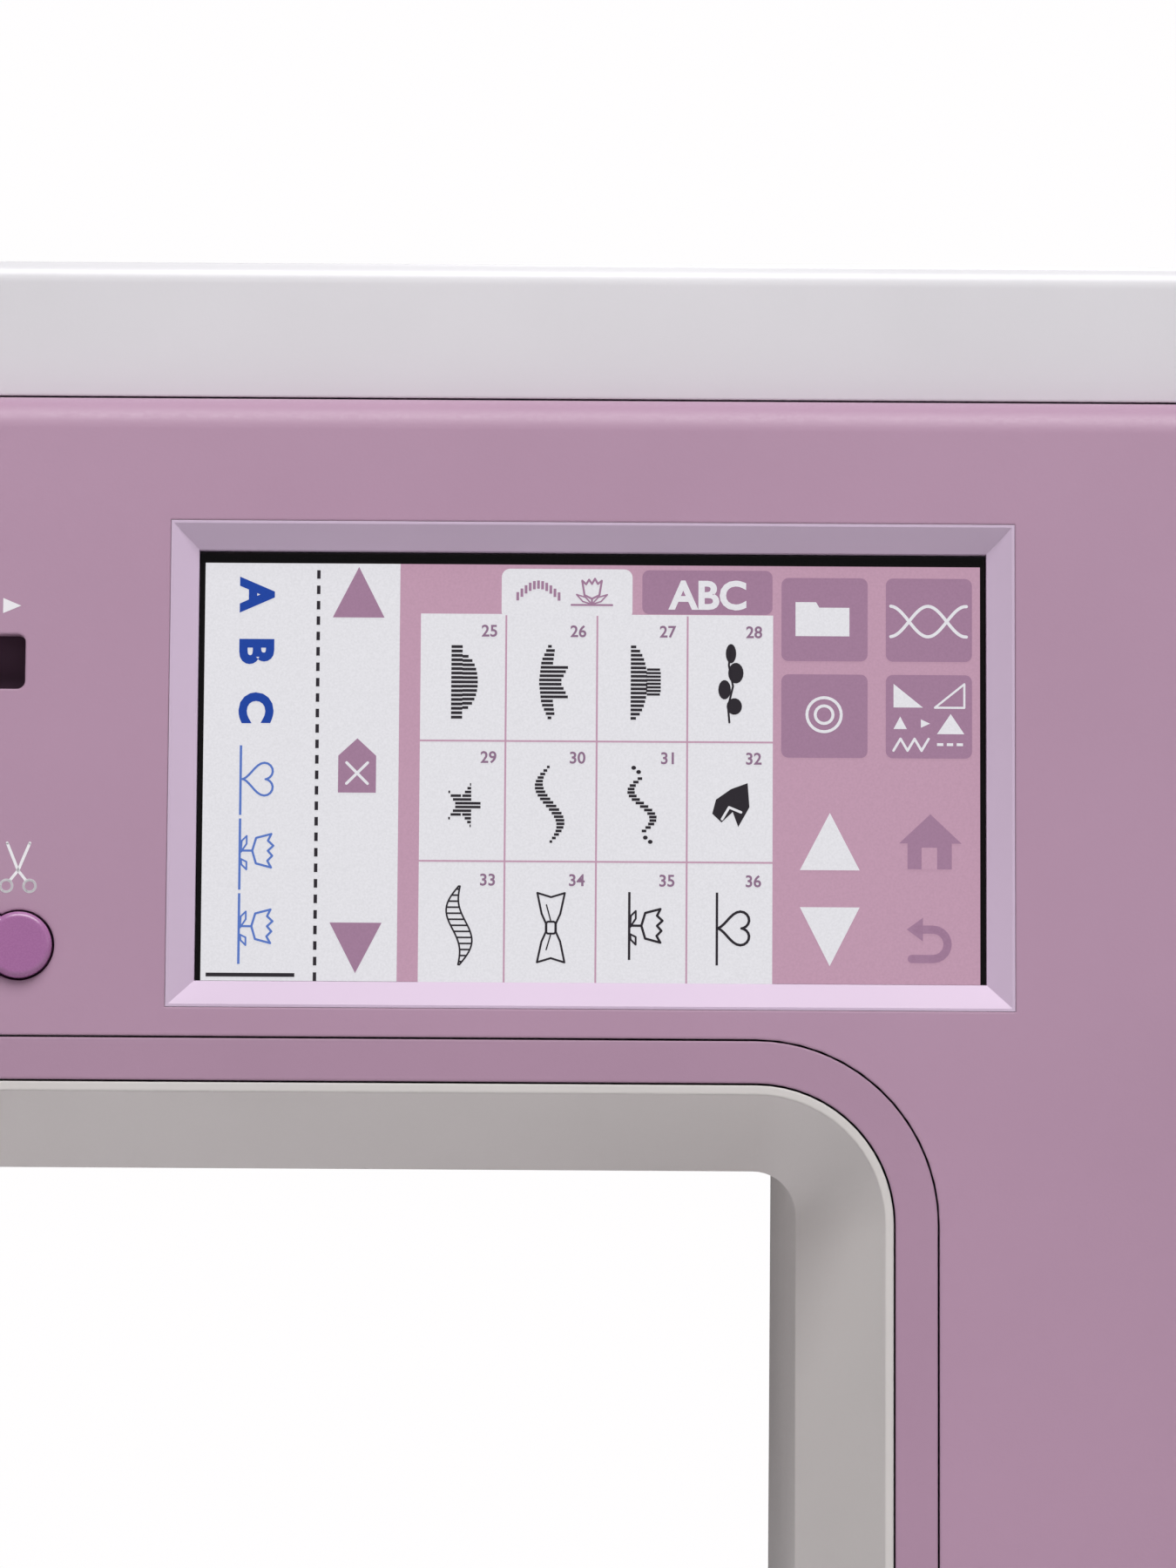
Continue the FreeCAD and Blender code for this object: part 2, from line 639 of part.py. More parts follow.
def make_extension_table():
    """U-shaped table round the free arm, with an accessory box in its front and a hinged lid."""
    inner_left = free_arm_left - table_gap
    inner_front = free_arm_front - table_gap
    inner_rear = free_arm_rear + table_gap
    right = pillar_left + flare_rise
    outer = block(casing_left, right, front_reach, casing_rear, table_foot, bed_top)
    corners = [e for e in outer.Edges if e.BoundBox.ZLength > 50 and e.BoundBox.XMax < casing_left + 1]
    outer = outer.makeFillet(12.0, corners)
    bay = block(inner_left, right + 1, inner_front, inner_rear, 0, bed_top + 1)
    box_left = casing_left + 4 * table_wall
    box_right = pillar_left - 4 * table_wall
    drawer = block(box_left, box_right, front_reach - 1, inner_front - table_wall,
                   box_lid_hinge_z - 4, bed_top - 2 * table_wall)
    rear_bay = block(box_left, pillar_left - table_wall, inner_rear + table_wall, casing_rear - table_wall,
                     0, bed_top - table_wall)
    below = block(pillar_left - table_clearance, right + 1, front_reach - 1, casing_rear + 1,
                  0, casing_foot + 1)
    shape = outer.cut([bay, drawer, rear_bay, below, casing_block(-table_clearance)])
    body = max(shape.Solids, key=lambda s: s.Volume)
    pin_y = front_reach + 3.0
    low, high = box_left + 1, box_right - 1
    pins = [rod(box_lid_pin_radius + running_gap, (box_left - 4, pin_y, box_lid_hinge_z), 5, X_AXIS),
            rod(box_lid_pin_radius + running_gap, (box_right - 1, pin_y, box_lid_hinge_z), 5, X_AXIS)]
    save("extension_table", body.cut(pins))
    lid = block(low, high, front_reach + 0.5, front_reach + 0.5 + box_lid_thickness,
                box_lid_hinge_z - 1.5, bed_top - 2 * table_wall - parting)
    barrel = rod(2.4, (low, pin_y, box_lid_hinge_z), high - low, X_AXIS)
    grip = block(-130, -60, front_reach - 1, front_reach + 1.6, bed_top - 16, bed_top - 10)
    stubs = [rod(box_lid_pin_radius, (box_left - 3.5, pin_y, box_lid_hinge_z), 5, X_AXIS),
             rod(box_lid_pin_radius, (box_right - 1.5, pin_y, box_lid_hinge_z), 5, X_AXIS)]
    save("accessory_lid", fuse([lid, barrel] + stubs).cut(grip))


# ---------------------------------------------------------------- drive: shafts, belts and motor
upper_shaft_left = needle_x + 18.0
crank_radius = 14.0
crank_width = 6.0
bearing_places = (-136.0, -10.0, 138.0)
bearing_width = 12.0
bushing_radius = 7.0
frame_front = 50.0
frame_rear = 58.0
motor_radius = 23.0
motor_left = 80.0
motor_length = 56.0
drive_belt_x = 168.0
gear_gap = 0.15


def pulley(radius, x, y, z, width):
    """Toothed pulley with a flange on each side, on a shaft along X."""
    body = rod(radius, (x, y, z), width, X_AXIS)
    flanges = [rod(radius + 2.5, (start, y, z), 1.2, X_AXIS) for start in (x - 1.2, x + width)]
    return fuse([body] + flanges)


def belt_loop(low_radius, low_z, high_radius, high_z, x):
    """Closed flat belt round two pulleys that stand one above the other."""
    loops = []
    for extra in (belt_gap + belt_thickness, belt_gap):
        low, high = low_radius + extra, high_radius + extra
        lean = math.asin((high - low) / (high_z - low_z))
        sine, cosine = math.sin(lean), math.cos(lean)
        points = []
        for side in (1, -1):
            points.append((V(x, shaft_y + side * low * cosine, low_z - low * sine),
                           V(x, shaft_y + side * high * cosine, high_z - high * sine)))
        top = V(x, shaft_y, high_z + high)
        bottom = V(x, shaft_y, low_z - low)
        edges = [Part.LineSegment(points[0][0], points[0][1]).toShape(),
                 Part.Arc(points[0][1], top, points[1][1]).toShape(),
                 Part.LineSegment(points[1][1], points[1][0]).toShape(),
                 Part.Arc(points[1][0], bottom, points[0][0]).toShape()]
        loops.append(Part.Face(Part.Wire(edges)).extrude(V(belt_width - 2, 0, 0)))
    return loops[0].cut(loops[1])


def toothed_disc(radius, depth, count, start, width, axis):
    """Gear blank with straight notches round its rim, on a shaft along X or Z."""
    disc = rod(radius, start, width, axis)
    notches = []
    for i in range(count):
        angle = 2 * math.pi * i / count
        across = V(math.cos(angle), math.sin(angle), 0)
        if axis == X_AXIS:
            across = V(0, math.cos(angle), math.sin(angle))
        centre = V(*start) + across * (radius + depth * 0.2)
        notches.append(rod(depth, (centre.x, centre.y, centre.z), width, axis))
    return disc.cut(notches)


def make_shafts():
    """Upper shaft with crank and pulleys, lower shaft with pulley and gear, and their bushings."""
    right = casing_right + wheel_gap + wheel_width - 6
    upper = rod(shaft_radius, (upper_shaft_left, shaft_y, upper_shaft_z), right - upper_shaft_left, X_AXIS)
    crank = rod(crank_radius, (upper_shaft_left - crank_width, shaft_y, upper_shaft_z), crank_width, X_AXIS)
    pin = rod(2.5, (upper_shaft_left - crank_width - 3, shaft_y, upper_shaft_z + 9), 3, X_AXIS)
    cutout = block(upper_shaft_left - crank_width - 1, upper_shaft_left + 1, shaft_y - crank_radius,
                   shaft_y + crank_radius, upper_shaft_z + 12.5, upper_shaft_z + crank_radius + 1)
    timing = pulley(timing_pulley_radius, belt_x, shaft_y, upper_shaft_z, belt_width)
    driven = pulley(drive_pulley_radius, drive_belt_x, shaft_y, upper_shaft_z, belt_width)
    sleeve = rod(shaft_radius + 3, (belt_x, shaft_y, upper_shaft_z), drive_belt_x - belt_x, X_AXIS)
    save("upper_shaft", fuse([upper, crank, pin, timing, driven, sleeve]).cut(cutout))
    gear_left = needle_x - 6
    lower_right = belt_x + belt_width + 4
    lower = rod(shaft_radius, (gear_left, shaft_y, lower_shaft_z), lower_right - gear_left, X_AXIS)
    wheel = pulley(timing_pulley_radius, belt_x, shaft_y, lower_shaft_z, belt_width)
    share = hook_ratio / (hook_ratio + 1)
    gear = toothed_disc(gear_centres * share - gear_gap, 1.2, 26, (gear_left, shaft_y, lower_shaft_z),
                        12, X_AXIS)
    save("lower_shaft", fuse([lower, wheel, gear]))
    bushings = []
    for z, places in ((upper_shaft_z, bearing_places), (lower_shaft_z, lower_bearing_places())):
        for x in places:
            start = (x - bearing_width / 2 - 1, shaft_y, z)
            bushings.append(ring(bushing_radius, shaft_radius + running_gap, start, bearing_width + 2,
                                 X_AXIS))
    save("shaft_bushings", Part.makeCompound(bushings))
    x = belt_x + 1
    long_belt = belt_loop(timing_pulley_radius, lower_shaft_z, timing_pulley_radius, upper_shaft_z, x)
    x = drive_belt_x + 1
    short_belt = belt_loop(motor_pulley_radius, motor_z, drive_pulley_radius, upper_shaft_z, x)
    save("drive_belts", Part.makeCompound([long_belt.Solids[0], short_belt.Solids[0]]))


def lower_bearing_places():
    """Where the lower shaft is carried."""
    return (needle_x + 34.0, -40.0, belt_x - 12.0)


def make_motor():
    """Main motor and its turning shaft with the small pulley."""
    start = (motor_left, shaft_y, motor_z)
    can = rod(motor_radius, start, motor_length, X_AXIS)
    boss = rod(9.0, (motor_left + motor_length, shaft_y, motor_z), 3.0, X_AXIS)
    bore = rod(3.0 + running_gap, (motor_left + 4, shaft_y, motor_z), motor_length + 6, X_AXIS)
    save("motor", fuse([can, boss]).cut(bore))
    end = drive_belt_x + belt_width + 3
    rotor = rod(3.0, (motor_left + 5, shaft_y, motor_z), end - motor_left - 5, X_AXIS)
    wheel = pulley(motor_pulley_radius, drive_belt_x, shaft_y, motor_z, belt_width)
    save("motor_shaft", fuse([rotor, wheel]))


def motor_bracket():
    """Plate on the frame that the motor is bolted to."""
    face = motor_left + motor_length
    plate = block(face, face + 3, shaft_y - 24, frame_front, motor_z - 24, motor_z + 24)
    web = block(face - 20, face + 3, frame_front - 3, frame_front, motor_z - 24, motor_z + 24)
    hole = rod(9.0 + fit_gap, (face - 1, shaft_y, motor_z), 6, X_AXIS)
    return fuse([plate, web]).cut(hole)


def make_frames():
    """Cast frames: the one in the arm and pillar, and the one in the free arm."""
    head = block(needle_x - 14, needle_x + 40, frame_front, frame_rear, head_bottom + 8, 300)
    beam = block(needle_x - 14, 150, frame_front, frame_rear, 232, 300)
    column = block(pillar_left + 7, 146, frame_front, frame_rear, 28, 300)
    foot = block(pillar_left + 7, 182, frame_front, frame_rear, 28, 84)
    windows = [block(x, x + 48, frame_front - 1, frame_rear + 1, 246, 268) for x in (-118, -58, 2)]
    windows += [block(64, 120, frame_front - 1, frame_rear + 1, z, z + 34) for z in (176, 92)]
    arms, bores = [], []
    for x in bearing_places:
        arms.append(block(x - bearing_width / 2, x + bearing_width / 2, shaft_y - 11, frame_front,
                          upper_shaft_z - 11, upper_shaft_z + 11))
        bores.append(rod(bushing_radius, (x - 20, shaft_y, upper_shaft_z), 40, X_AXIS))
    for x, z in cover_screw_places:
        arms.append(rod(5.0, (x, frame_front, z), casing_rear - wall - 0.2 - frame_front, Y_AXIS))
        bores.append(rod(screw_radius + 0.02, (x, frame_rear + 2, z), 40, Y_AXIS))
    floor = block(pillar_left + 7, 146, shaft_y - 30, frame_rear, 28, 34)
    x = belt_x - 12
    seat = block(x - bearing_width / 2, x + bearing_width / 2, shaft_y - 10, shaft_y + 10,
                 28, lower_shaft_z + 10)
    bores.append(rod(bushing_radius, (x - 20, shaft_y, lower_shaft_z), 40, X_AXIS))
    casting = fuse([head, beam, column, foot, floor, seat, motor_bracket()] + arms).cut(windows + bores)
    fittings = [swing_pin(), takeup_bracket(), threader_rail(), presser_guide()]
    save("arm_frame", fuse([casting] + fittings))
    low = free_arm_bottom + arm_wall
    plate = block(free_arm_left + 20, pillar_left + 6.7, free_arm_front + 10, free_arm_rear - 6, low, low + 3)
    blocks, bores = [], []
    for x in lower_bearing_places():
        if x < pillar_left:
            blocks.append(block(x - bearing_width / 2, x + bearing_width / 2, shaft_y - 10, shaft_y + 10,
                                low + 2, lower_shaft_z + 10))
    for x in lower_bearing_places():
        bores.append(rod(bushing_radius, (x - 20, shaft_y, lower_shaft_z), 40, X_AXIS))
    bores.append(rod(3.0 + running_gap, (needle_x, needle_y - hook_offset, low - 1), 8))
    save("bed_frame", fuse([plate.fuse(blocks).cut(bores), feed_guide()]))


# ---------------------------------------------------------------- hook, bobbin and feed
hook_wall = 2.0
case_gap = 0.4
dog_base_top = 84.0
dog_base_thickness = 5.0
dog_proud = 0.9
sleeve_gap = 0.05


def make_hook():
    """Turning hook, its shaft and gear, the still bobbin case and the bobbin."""
    y = needle_y - hook_offset
    low = free_arm_bottom + arm_wall + 0.5
    shaft = rod(3.0, (needle_x, y, low), hook_bottom - low, Z_AXIS)
    basket = rod(hook_radius, (needle_x, y, hook_bottom), hook_height)
    basket = basket.cut(rod(hook_radius - hook_wall, (needle_x, y, hook_bottom + hook_wall), hook_height))
    notch = block(needle_x + hook_radius - 6, needle_x + hook_radius + 1, y - 3, y + 8,
                  hook_bottom + hook_height - 7, hook_bottom + hook_height + 1)
    radius = gear_centres / (hook_ratio + 1) - gear_gap
    gear = toothed_disc(radius, 1.2, 13, (needle_x, y, lower_shaft_z - 5), 9, Z_AXIS)
    save("rotary_hook", fuse([shaft, basket, gear]).cut(notch))
    outer = hook_radius - hook_wall - case_gap
    low = hook_bottom + hook_wall + case_gap
    case = rod(outer, (needle_x, y, low), 17).cut(rod(outer - 2, (needle_x, y, low + 2), 20))
    tab = block(needle_x - hook_radius - 6, needle_x - outer + 2, y - 4, y + 4, low + 15.8, low + 17)
    post = rod(1.8, (needle_x, y, low + 2), bobbin_height + 1)
    save("bobbin_case", fuse([case, tab, post]))
    low = low + 2 + 0.2
    flanges = [rod(bobbin_radius, (needle_x, y, z), 1.2) for z in (low, low + bobbin_height - 1.2)]
    core = rod(5.0, (needle_x, y, low), bobbin_height)
    holes = [rod(1.2, (needle_x + 7.6 * math.cos(a), y + 7.6 * math.sin(a), low - 1), bobbin_height + 2)
             for a in [i * math.pi / 3 for i in range(6)]]
    bore = rod(1.8 + 0.1, (needle_x, y, low - 1), bobbin_height + 2)
    save("bobbin", fuse([core] + flanges).cut(holes + [bore]))


def make_feed():
    """Feed dog with two toothed rows, the carrier under it and the lever that drops it."""
    front = needle_y + 2
    base = block(needle_x - 10, needle_x + 11, front + 4, front + dog_length,
                 dog_base_top - dog_base_thickness,
                 dog_base_top)
    rows = []
    for row in dog_rows:
        left = needle_x + row
        bar = block(left, left + dog_row_width, front, front + dog_length, dog_base_top - 1.5,
                    bed_top + dog_proud)
        cuts = []
        for i in range(9):
            y = front + 1.0 + i * 1.9
            tooth = Part.makePolygon([V(left - 1, y, bed_top + dog_proud + 0.1),
                                      V(left - 1, y + 1.5, bed_top + dog_proud + 0.1),
                                      V(left - 1, y + 0.75, bed_top + dog_proud - 0.9),
                                      V(left - 1, y, bed_top + dog_proud + 0.1)])
            cuts.append(Part.Face(tooth).extrude(V(dog_row_width + 2, 0, 0)))
        rows.append(bar.cut(cuts))
    save("feed_dog", fuse([base] + rows))
    top = dog_base_top - dog_base_thickness - parting
    carrier = block(needle_x - 10, needle_x + 11, front + 4, front + dog_length, top - 5, top)
    stem = rod(3.0, (needle_x + 1, front + 11, 69), top - 69 - 2)
    save("feed_carrier", fuse([carrier, stem]))
    back = free_arm_rear
    knob = block(-58, -52, back - arm_wall - 1, back + 0.8, 58.5, 63.5)
    foot = block(-61, -49, back - arm_wall - 2.5, back - arm_wall - 0.3, 55.5, 66.5)
    save("feed_drop_lever", fuse([knob, foot]))


feed_guide_top = 70.5


def feed_guide():
    """Bridge on the bed frame with the sleeve that the feed carrier rises in."""
    front = needle_y + 2
    low, high = feed_guide_top - 4.5, feed_guide_top
    sleeve = rod(5.5, (needle_x + 1, front + 11, low), high - low)
    leg = block(needle_x - 10, needle_x + 12, front + 26, front + 32, free_arm_bottom + arm_wall + 3, high)
    bridge = block(needle_x - 10, needle_x + 12, front + 15, front + 28, low, high)
    hole = rod(3.0 + sleeve_gap, (needle_x + 1, front + 11, 60), 20)
    return fuse([sleeve, leg, bridge]).cut(hole)


# ---------------------------------------------------------------- needle, foot and take-up
swing_pivot_z = 292.0
swing_pin_radius = 3.0
needle_bar_bottom = 146.0
clamp_height = 8.0
foot_sole = 2.5
foot_length = 32.0
foot_width = 21.0
foot_pin_up = 9.0
ankle_height = 16.0
lifter_x = needle_x + 22.0
lifter_y = presser_y + 18.0
lifter_z = 176.0
lifter_length = 44.0
lifter_raised = 50.0
takeup_pivot = (-8.0, 236.0)
takeup_reach = 76.0


def make_needle_bar():
    """Swinging guide frame, needle bar, clamp with its screw, and the needle."""
    x, y = needle_x, needle_y
    plate = block(x - 8, x + 8, y + 7, y + 10, 172, swing_pivot_z + 7)
    blocks = [block(x - 7, x + 7, y - 7, y + 8, z, z + 10) for z in (174, 270)]
    bores = [rod(needle_bar_radius + running_gap, (x, y, 160), 140),
             rod(swing_pin_radius + running_gap, (x, y, swing_pivot_z), 20, Y_AXIS)]
    save("needle_bar_frame", fuse([plate] + blocks).cut(bores))
    bar = rod(needle_bar_radius, (x, y, needle_bar_bottom), needle_bar_top - needle_bar_bottom)
    collar = rod(6.0, (x, y, 236), 8)
    top = needle_tip + needle_length
    clamp = rod(5.2, (x, y, needle_bar_bottom - clamp_height + 4), clamp_height)
    screw = rod(1.4, (x + 2.4, y, needle_bar_bottom - 1.2), 6, X_AXIS).fuse(
        rod(3.0, (x + 7.2, y, needle_bar_bottom - 1.2), 4, X_AXIS))
    bore = rod(needle_radius * 2, (x, y, needle_bar_bottom - clamp_height), 24)
    save("needle_bar", fuse([bar, collar, clamp, screw]).cut(bore))
    blade = rod(needle_radius, (x, y, needle_tip + 3), needle_length - 12)
    point = Part.makeCone(0.08, needle_radius, 3, V(x, y, needle_tip))
    butt = rod(needle_radius * 2 - 0.02, (x, y, top - 9.2), 14)
    eye = rod(0.25, (x, y - 1, needle_tip + 5), 2, Y_AXIS)
    save("needle", fuse([blade, point, butt]).cut(eye))


def swing_pin():
    """Pin on the arm frame that the needle bar frame swings on."""
    start = (needle_x, needle_y + 7, swing_pivot_z)
    return rod(swing_pin_radius, start, frame_front - start[1] + 1, Y_AXIS)


def presser_guide():
    """Sleeve for the presser bar and the pin of its lifting lever, on the arm frame."""
    x, y = needle_x, presser_y
    sleeve = rod(presser_bar_radius + 1.7, (x, y, 177), 8)
    bridge = block(x - 5, x + 5, y, frame_front + 1, 178, 184)
    bore = rod(presser_bar_radius + sleeve_gap, (x, y, 170), 30)
    pin = rod(2.5, (lifter_x, lifter_y - 2, lifter_z), frame_front - lifter_y + 3, Y_AXIS)
    head = rod(4.0, (lifter_x, lifter_y - 3, lifter_z), 2.6, Y_AXIS)
    return Part.makeCompound([fuse([sleeve, bridge]).cut(bore), fuse([pin, head])])


def takeup_bracket():
    """Bracket on the arm frame with the pivot of the take-up lever."""
    y, z = takeup_pivot
    pivot = rod(2.5, (takeup_x - 2, y, z), 16, X_AXIS)
    return fuse([pivot, block(takeup_x + 6, takeup_x + 12, y - 6, frame_front + 1, z - 6, z + 6)])


def threader_rail():
    """Upright rail beside the needle that the threader slides on."""
    x, y = threader_place()
    rail = rod(1.6, (x, y, 168), 60)
    return fuse([rail, block(x - 3, x + 3, y - 2, frame_front + 1, 226, 231)])


def threader_place():
    """Place of the threader rail, seen from above."""
    return needle_x - 15.0, needle_y + 10.0


def make_presser():
    """Presser bar with ankle, snap-on foot, its spring and the lifting lever."""
    x, y = needle_x, presser_y
    sole_bottom = bed_top + foot_lift
    pin_z = sole_bottom + foot_pin_up
    bar_bottom = pin_z + ankle_height
    bar = rod(presser_bar_radius, (x, y, bar_bottom), 280 - bar_bottom)
    collar = rod(presser_bar_radius + 1.5, (x, y, 195), 5)
    save("presser_spring", ring(presser_bar_radius + 1.6, presser_bar_radius + 0.4, (x, y, 200.2), 54))
    neck = block(x - 4.5, x + 4.5, y - 5.2, y + 5.2, pin_z + 3, bar_bottom + 9)
    hook_slot = rod(1.0 + 0.05, (x - 10, needle_y + 6.0, pin_z), 20, X_AXIS)
    jaw = block(x - 4.5, x + 4.5, needle_y + 3.6, y + 5.2, pin_z - 2.6, pin_z + 3.5)
    save("presser_bar", fuse([bar, collar, jaw, neck]).cut(hook_slot))
    sole = block(x - foot_width / 2, x + foot_width / 2, needle_y - 15, needle_y - 15 + foot_length,
                 sole_bottom, sole_bottom + foot_sole)
    lift = Part.Face(Part.makePolygon([V(x - 20, needle_y - 16, sole_bottom - 0.1),
                                       V(x - 20, needle_y - 9, sole_bottom - 0.1),
                                       V(x - 20, needle_y - 16, sole_bottom + 1.6),
                                       V(x - 20, needle_y - 16, sole_bottom - 0.1)])).extrude(V(60, 0, 0))
    slot = block(x - 4.3, x + 4.3, needle_y - 2.2, needle_y + 2.2, sole_bottom - 1, sole_bottom + 5)
    lead = block(x - 1.2, x + 1.2, needle_y - 16, needle_y, sole_bottom - 1, sole_bottom + 5)
    cheeks = [block(x + a, x + a + 2, needle_y + 3.6, needle_y + 9.5, sole_bottom + 1, pin_z + 1.6)
              for a in (-7.5, 5.5)]
    pin = rod(1.0, (x - 7, needle_y + 6.0, pin_z), 14, X_AXIS)
    save("presser_foot", fuse([sole.cut([lift, slot, lead])] + cheeks + [pin]))
    pivot = (lifter_x, lifter_y, lifter_z)
    hub = rod(6.0, pivot, 4.0, Y_AXIS)
    arm = block(lifter_x - 3.5, lifter_x + 3.5, lifter_y, lifter_y + 4, lifter_z - lifter_length, lifter_z)
    tip = rod(5.5, (lifter_x, lifter_y - 1, lifter_z - lifter_length), 6.0, Y_AXIS)
    bore = rod(2.5 + running_gap, (lifter_x, lifter_y - 1, lifter_z), 8, Y_AXIS)
    lever = fuse([hub, arm, tip]).cut(bore)
    lever.rotate(V(*pivot), Y_AXIS, -lifter_raised)
    save("presser_lifter", lever)


def make_takeup():
    """Take-up lever that rises and falls in the slot in the front."""
    y, z = takeup_pivot
    x = takeup_x
    tip_y = y - takeup_reach
    arm = Part.Face(Part.makePolygon([V(x - 1.2, y + 4, z - 4), V(x - 1.2, y + 4, z + 4),
                                      V(x - 1.2, tip_y, z + 14), V(x - 1.2, tip_y, z + 8),
                                      V(x - 1.2, y + 4, z - 4)])).extrude(V(2.4, 0, 0))
    hub = rod(6.0, (x - 2, y, z), 4.0, X_AXIS)
    eye = rod(1.2, (x - 5, tip_y + 3.2, z + 10.8), 10, X_AXIS)
    bore = rod(2.5 + running_gap, (x - 5, y, z), 10, X_AXIS)
    save("take_up_lever", fuse([arm, hub]).cut([eye, bore]))


def make_head_fittings():
    """Thread tension discs, step motors, lamp and needle threader."""
    x = needle_x + 58
    post = rod(2.5, (x, -38, 270), frame_front + 38, Y_AXIS)
    discs = [rod(9.0, (x, y, 270), 1.2, Y_AXIS) for y in (-34, -31.4)]
    save("tension_unit", fuse([post] + discs + [rod(7.0, (x, -30.2, 270), 14, Y_AXIS)]))
    zigzag = block(needle_x + 48, needle_x + 78, 16, frame_front, 206, 236)
    horn = rod(3.0, (needle_x + 63, 6, 221), 12, Y_AXIS)
    low = free_arm_bottom + arm_wall + 4
    feed = block(-120, -90, 15.5, 38, low, low + 24)
    feed = fuse([feed, rod(3.0, (-134, 28, low + 14), 15, X_AXIS)])
    save("step_motors", Part.makeCompound([fuse([zigzag, horn]).Solids[0], feed.Solids[0]]))
    lamp = block(needle_x - 11, needle_x + 30, needle_y - 21.5, needle_y - 13,
                 head_bottom + 0.5, head_bottom + 5)
    save("led_lamp", lamp)
    x, y = threader_place()
    sleeve = ring(3.4, 1.6 + running_gap, (x, y, 200), 12)
    blade = block(x - 1.0, x + 1.0, y - 11, y - 2.5, 160, 204)
    tab = block(x - 5.5, x + 1.0, y - 20, y - 10, 158, 162)
    save("needle_threader", fuse([sleeve, blade, tab]))


# ---------------------------------------------------------------- top of the machine
winder_top = casing_top + 15.5
winder_lever_length = 18.0
cap_radius = 14.0
cap_thickness = 4.0
cap_rest_x = -58.0
pin_left = -66.0
pin_right = 52.0


def make_top():
    """Spool tray, spool pin with its cap, bobbin winder and the hinged lid."""
    outer = tray_block(0, casing_top)
    inner = rounded_block(tray_left + 2, tray_right - 2, tray_front + 2, tray_rear - 2, tray_floor,
                          casing_top + 1, 4.0)
    post = block(pin_right, pin_right + 6, spool_pin_y - 6, spool_pin_y + 6,
                 tray_floor - 0.5, spool_pin_z + 5)
    seat = rod(spool_pin_radius, (pin_right, spool_pin_y, spool_pin_z), 4, X_AXIS)
    save("spool_tray", fuse([outer.cut(inner), post]).cut(seat))
    pin = rod(spool_pin_radius, (pin_left, spool_pin_y, spool_pin_z), pin_right + 4 - pin_left, X_AXIS)
    tip = [e for e in pin.Edges if abs(e.BoundBox.XMax - pin_left) < 0.01]
    save("spool_pin", pin.makeFillet(1.2, tip))
    cap = ring(cap_radius, spool_pin_radius + 0.1, (cap_rest_x, spool_pin_y, spool_pin_z), cap_thickness,
               X_AXIS)
    save("spool_cap", cap)
    base_low, base_high = casing_top + 0.4, casing_top + 3.4
    plate = rod(winder_plate_radius, (winder_x, winder_y, base_low), base_high - base_low)
    lever = block(winder_x - 4, winder_x + 4, winder_y, winder_y + winder_lever_length, base_low, base_high)
    knob = rod(4.0, (winder_x, winder_y + winder_lever_length, base_low), 8.0)
    pivot_bore = rod(spool_pin_radius + running_gap, (winder_x, winder_y, base_low - 1), 10)
    save("winder_lever", fuse([plate, lever, knob]).cut(pivot_bore))
    spindle = rod(spool_pin_radius, (winder_x, winder_y, base_low), winder_top - base_low)
    collar = rod(5.0, (winder_x, winder_y, base_high + 0.8), 1.6)
    save("winder_spindle", fuse([spindle, collar]))
    low, high = casing_top + 0.5, casing_top + lid_height
    lid = rounded_block(lid_left, lid_right, lid_front, lid_rear, low, high, 12.0)
    lid = lid.makeFillet(3.0, [e for e in lid.Edges if e.BoundBox.ZMin > high - 0.01])
    hollow = rounded_block(lid_left + wall, lid_right - wall, lid_front + wall, lid_rear - wall, low - 1,
                           high - wall, 9.5)
    lid = lid.cut(hollow)
    knuckles, notches = [], []
    for x in lid_lug_places:
        near = lid_lug_width / 2 + 0.4
        for start in (x - near - 6, x + near):
            knuckles.append(block(start, start + 6, lid_hinge_y - 3, lid_rear - 1,
                                  lid_pin_z - 3, lid_pin_z + 14))
        notches.append(block(x - near, x + near, lid_hinge_y - 5, lid_rear + 1, low - 1, lid_pin_z + 5))
        notches.append(rod(lid_pin_radius + running_gap, (x - 20, lid_hinge_y, lid_pin_z), 40, X_AXIS))
    save("top_lid", fuse([lid] + knuckles).cut(notches))
    pins = [rod(lid_pin_radius, (x - 9, lid_hinge_y, lid_pin_z), 18, X_AXIS) for x in lid_lug_places]
    for side in (-1, 1):
        start = min(side * (handle_span / 2 - handle_bar / 2 - bracket_width - parting),
                    side * (handle_span / 2 + handle_bar / 2 - 1))
        length = handle_bar + bracket_width + parting - 1
        pins.append(rod(handle_pin_radius, (start, handle_pivot_y, handle_pivot_z), length, X_AXIS))
    save("hinge_pins", Part.makeCompound(pins))


def make_handle():
    """U-shaped carrying handle that hangs behind the machine."""
    half = handle_span / 2
    radius = handle_bar / 2
    low = handle_pivot_z - handle_drop
    solids = []
    for side in (-1, 1):
        x = side * half
        arm = block(x - radius, x + radius, handle_pivot_y - radius, handle_pivot_y + radius,
                    low + radius, handle_pivot_z)
        hub = rod(radius, (x - radius, handle_pivot_y, handle_pivot_z), handle_bar, X_AXIS)
        solids += [arm, hub]
    grip = block(-half - radius, half + radius, handle_pivot_y - radius, handle_pivot_y + radius,
                 low, low + 15)
    shape = fuse(solids + [grip])
    edges = [e for e in shape.Edges
             if e.BoundBox.XLength > handle_span - 2 * handle_bar and e.BoundBox.ZLength < 0.1]
    shape = shape.makeFillet(4.0, edges)
    bore = rod(handle_pin_radius + running_gap, (-handle_span, handle_pivot_y, handle_pivot_z),
               2 * handle_span, X_AXIS)
    save("carry_handle", shape.cut(bore))


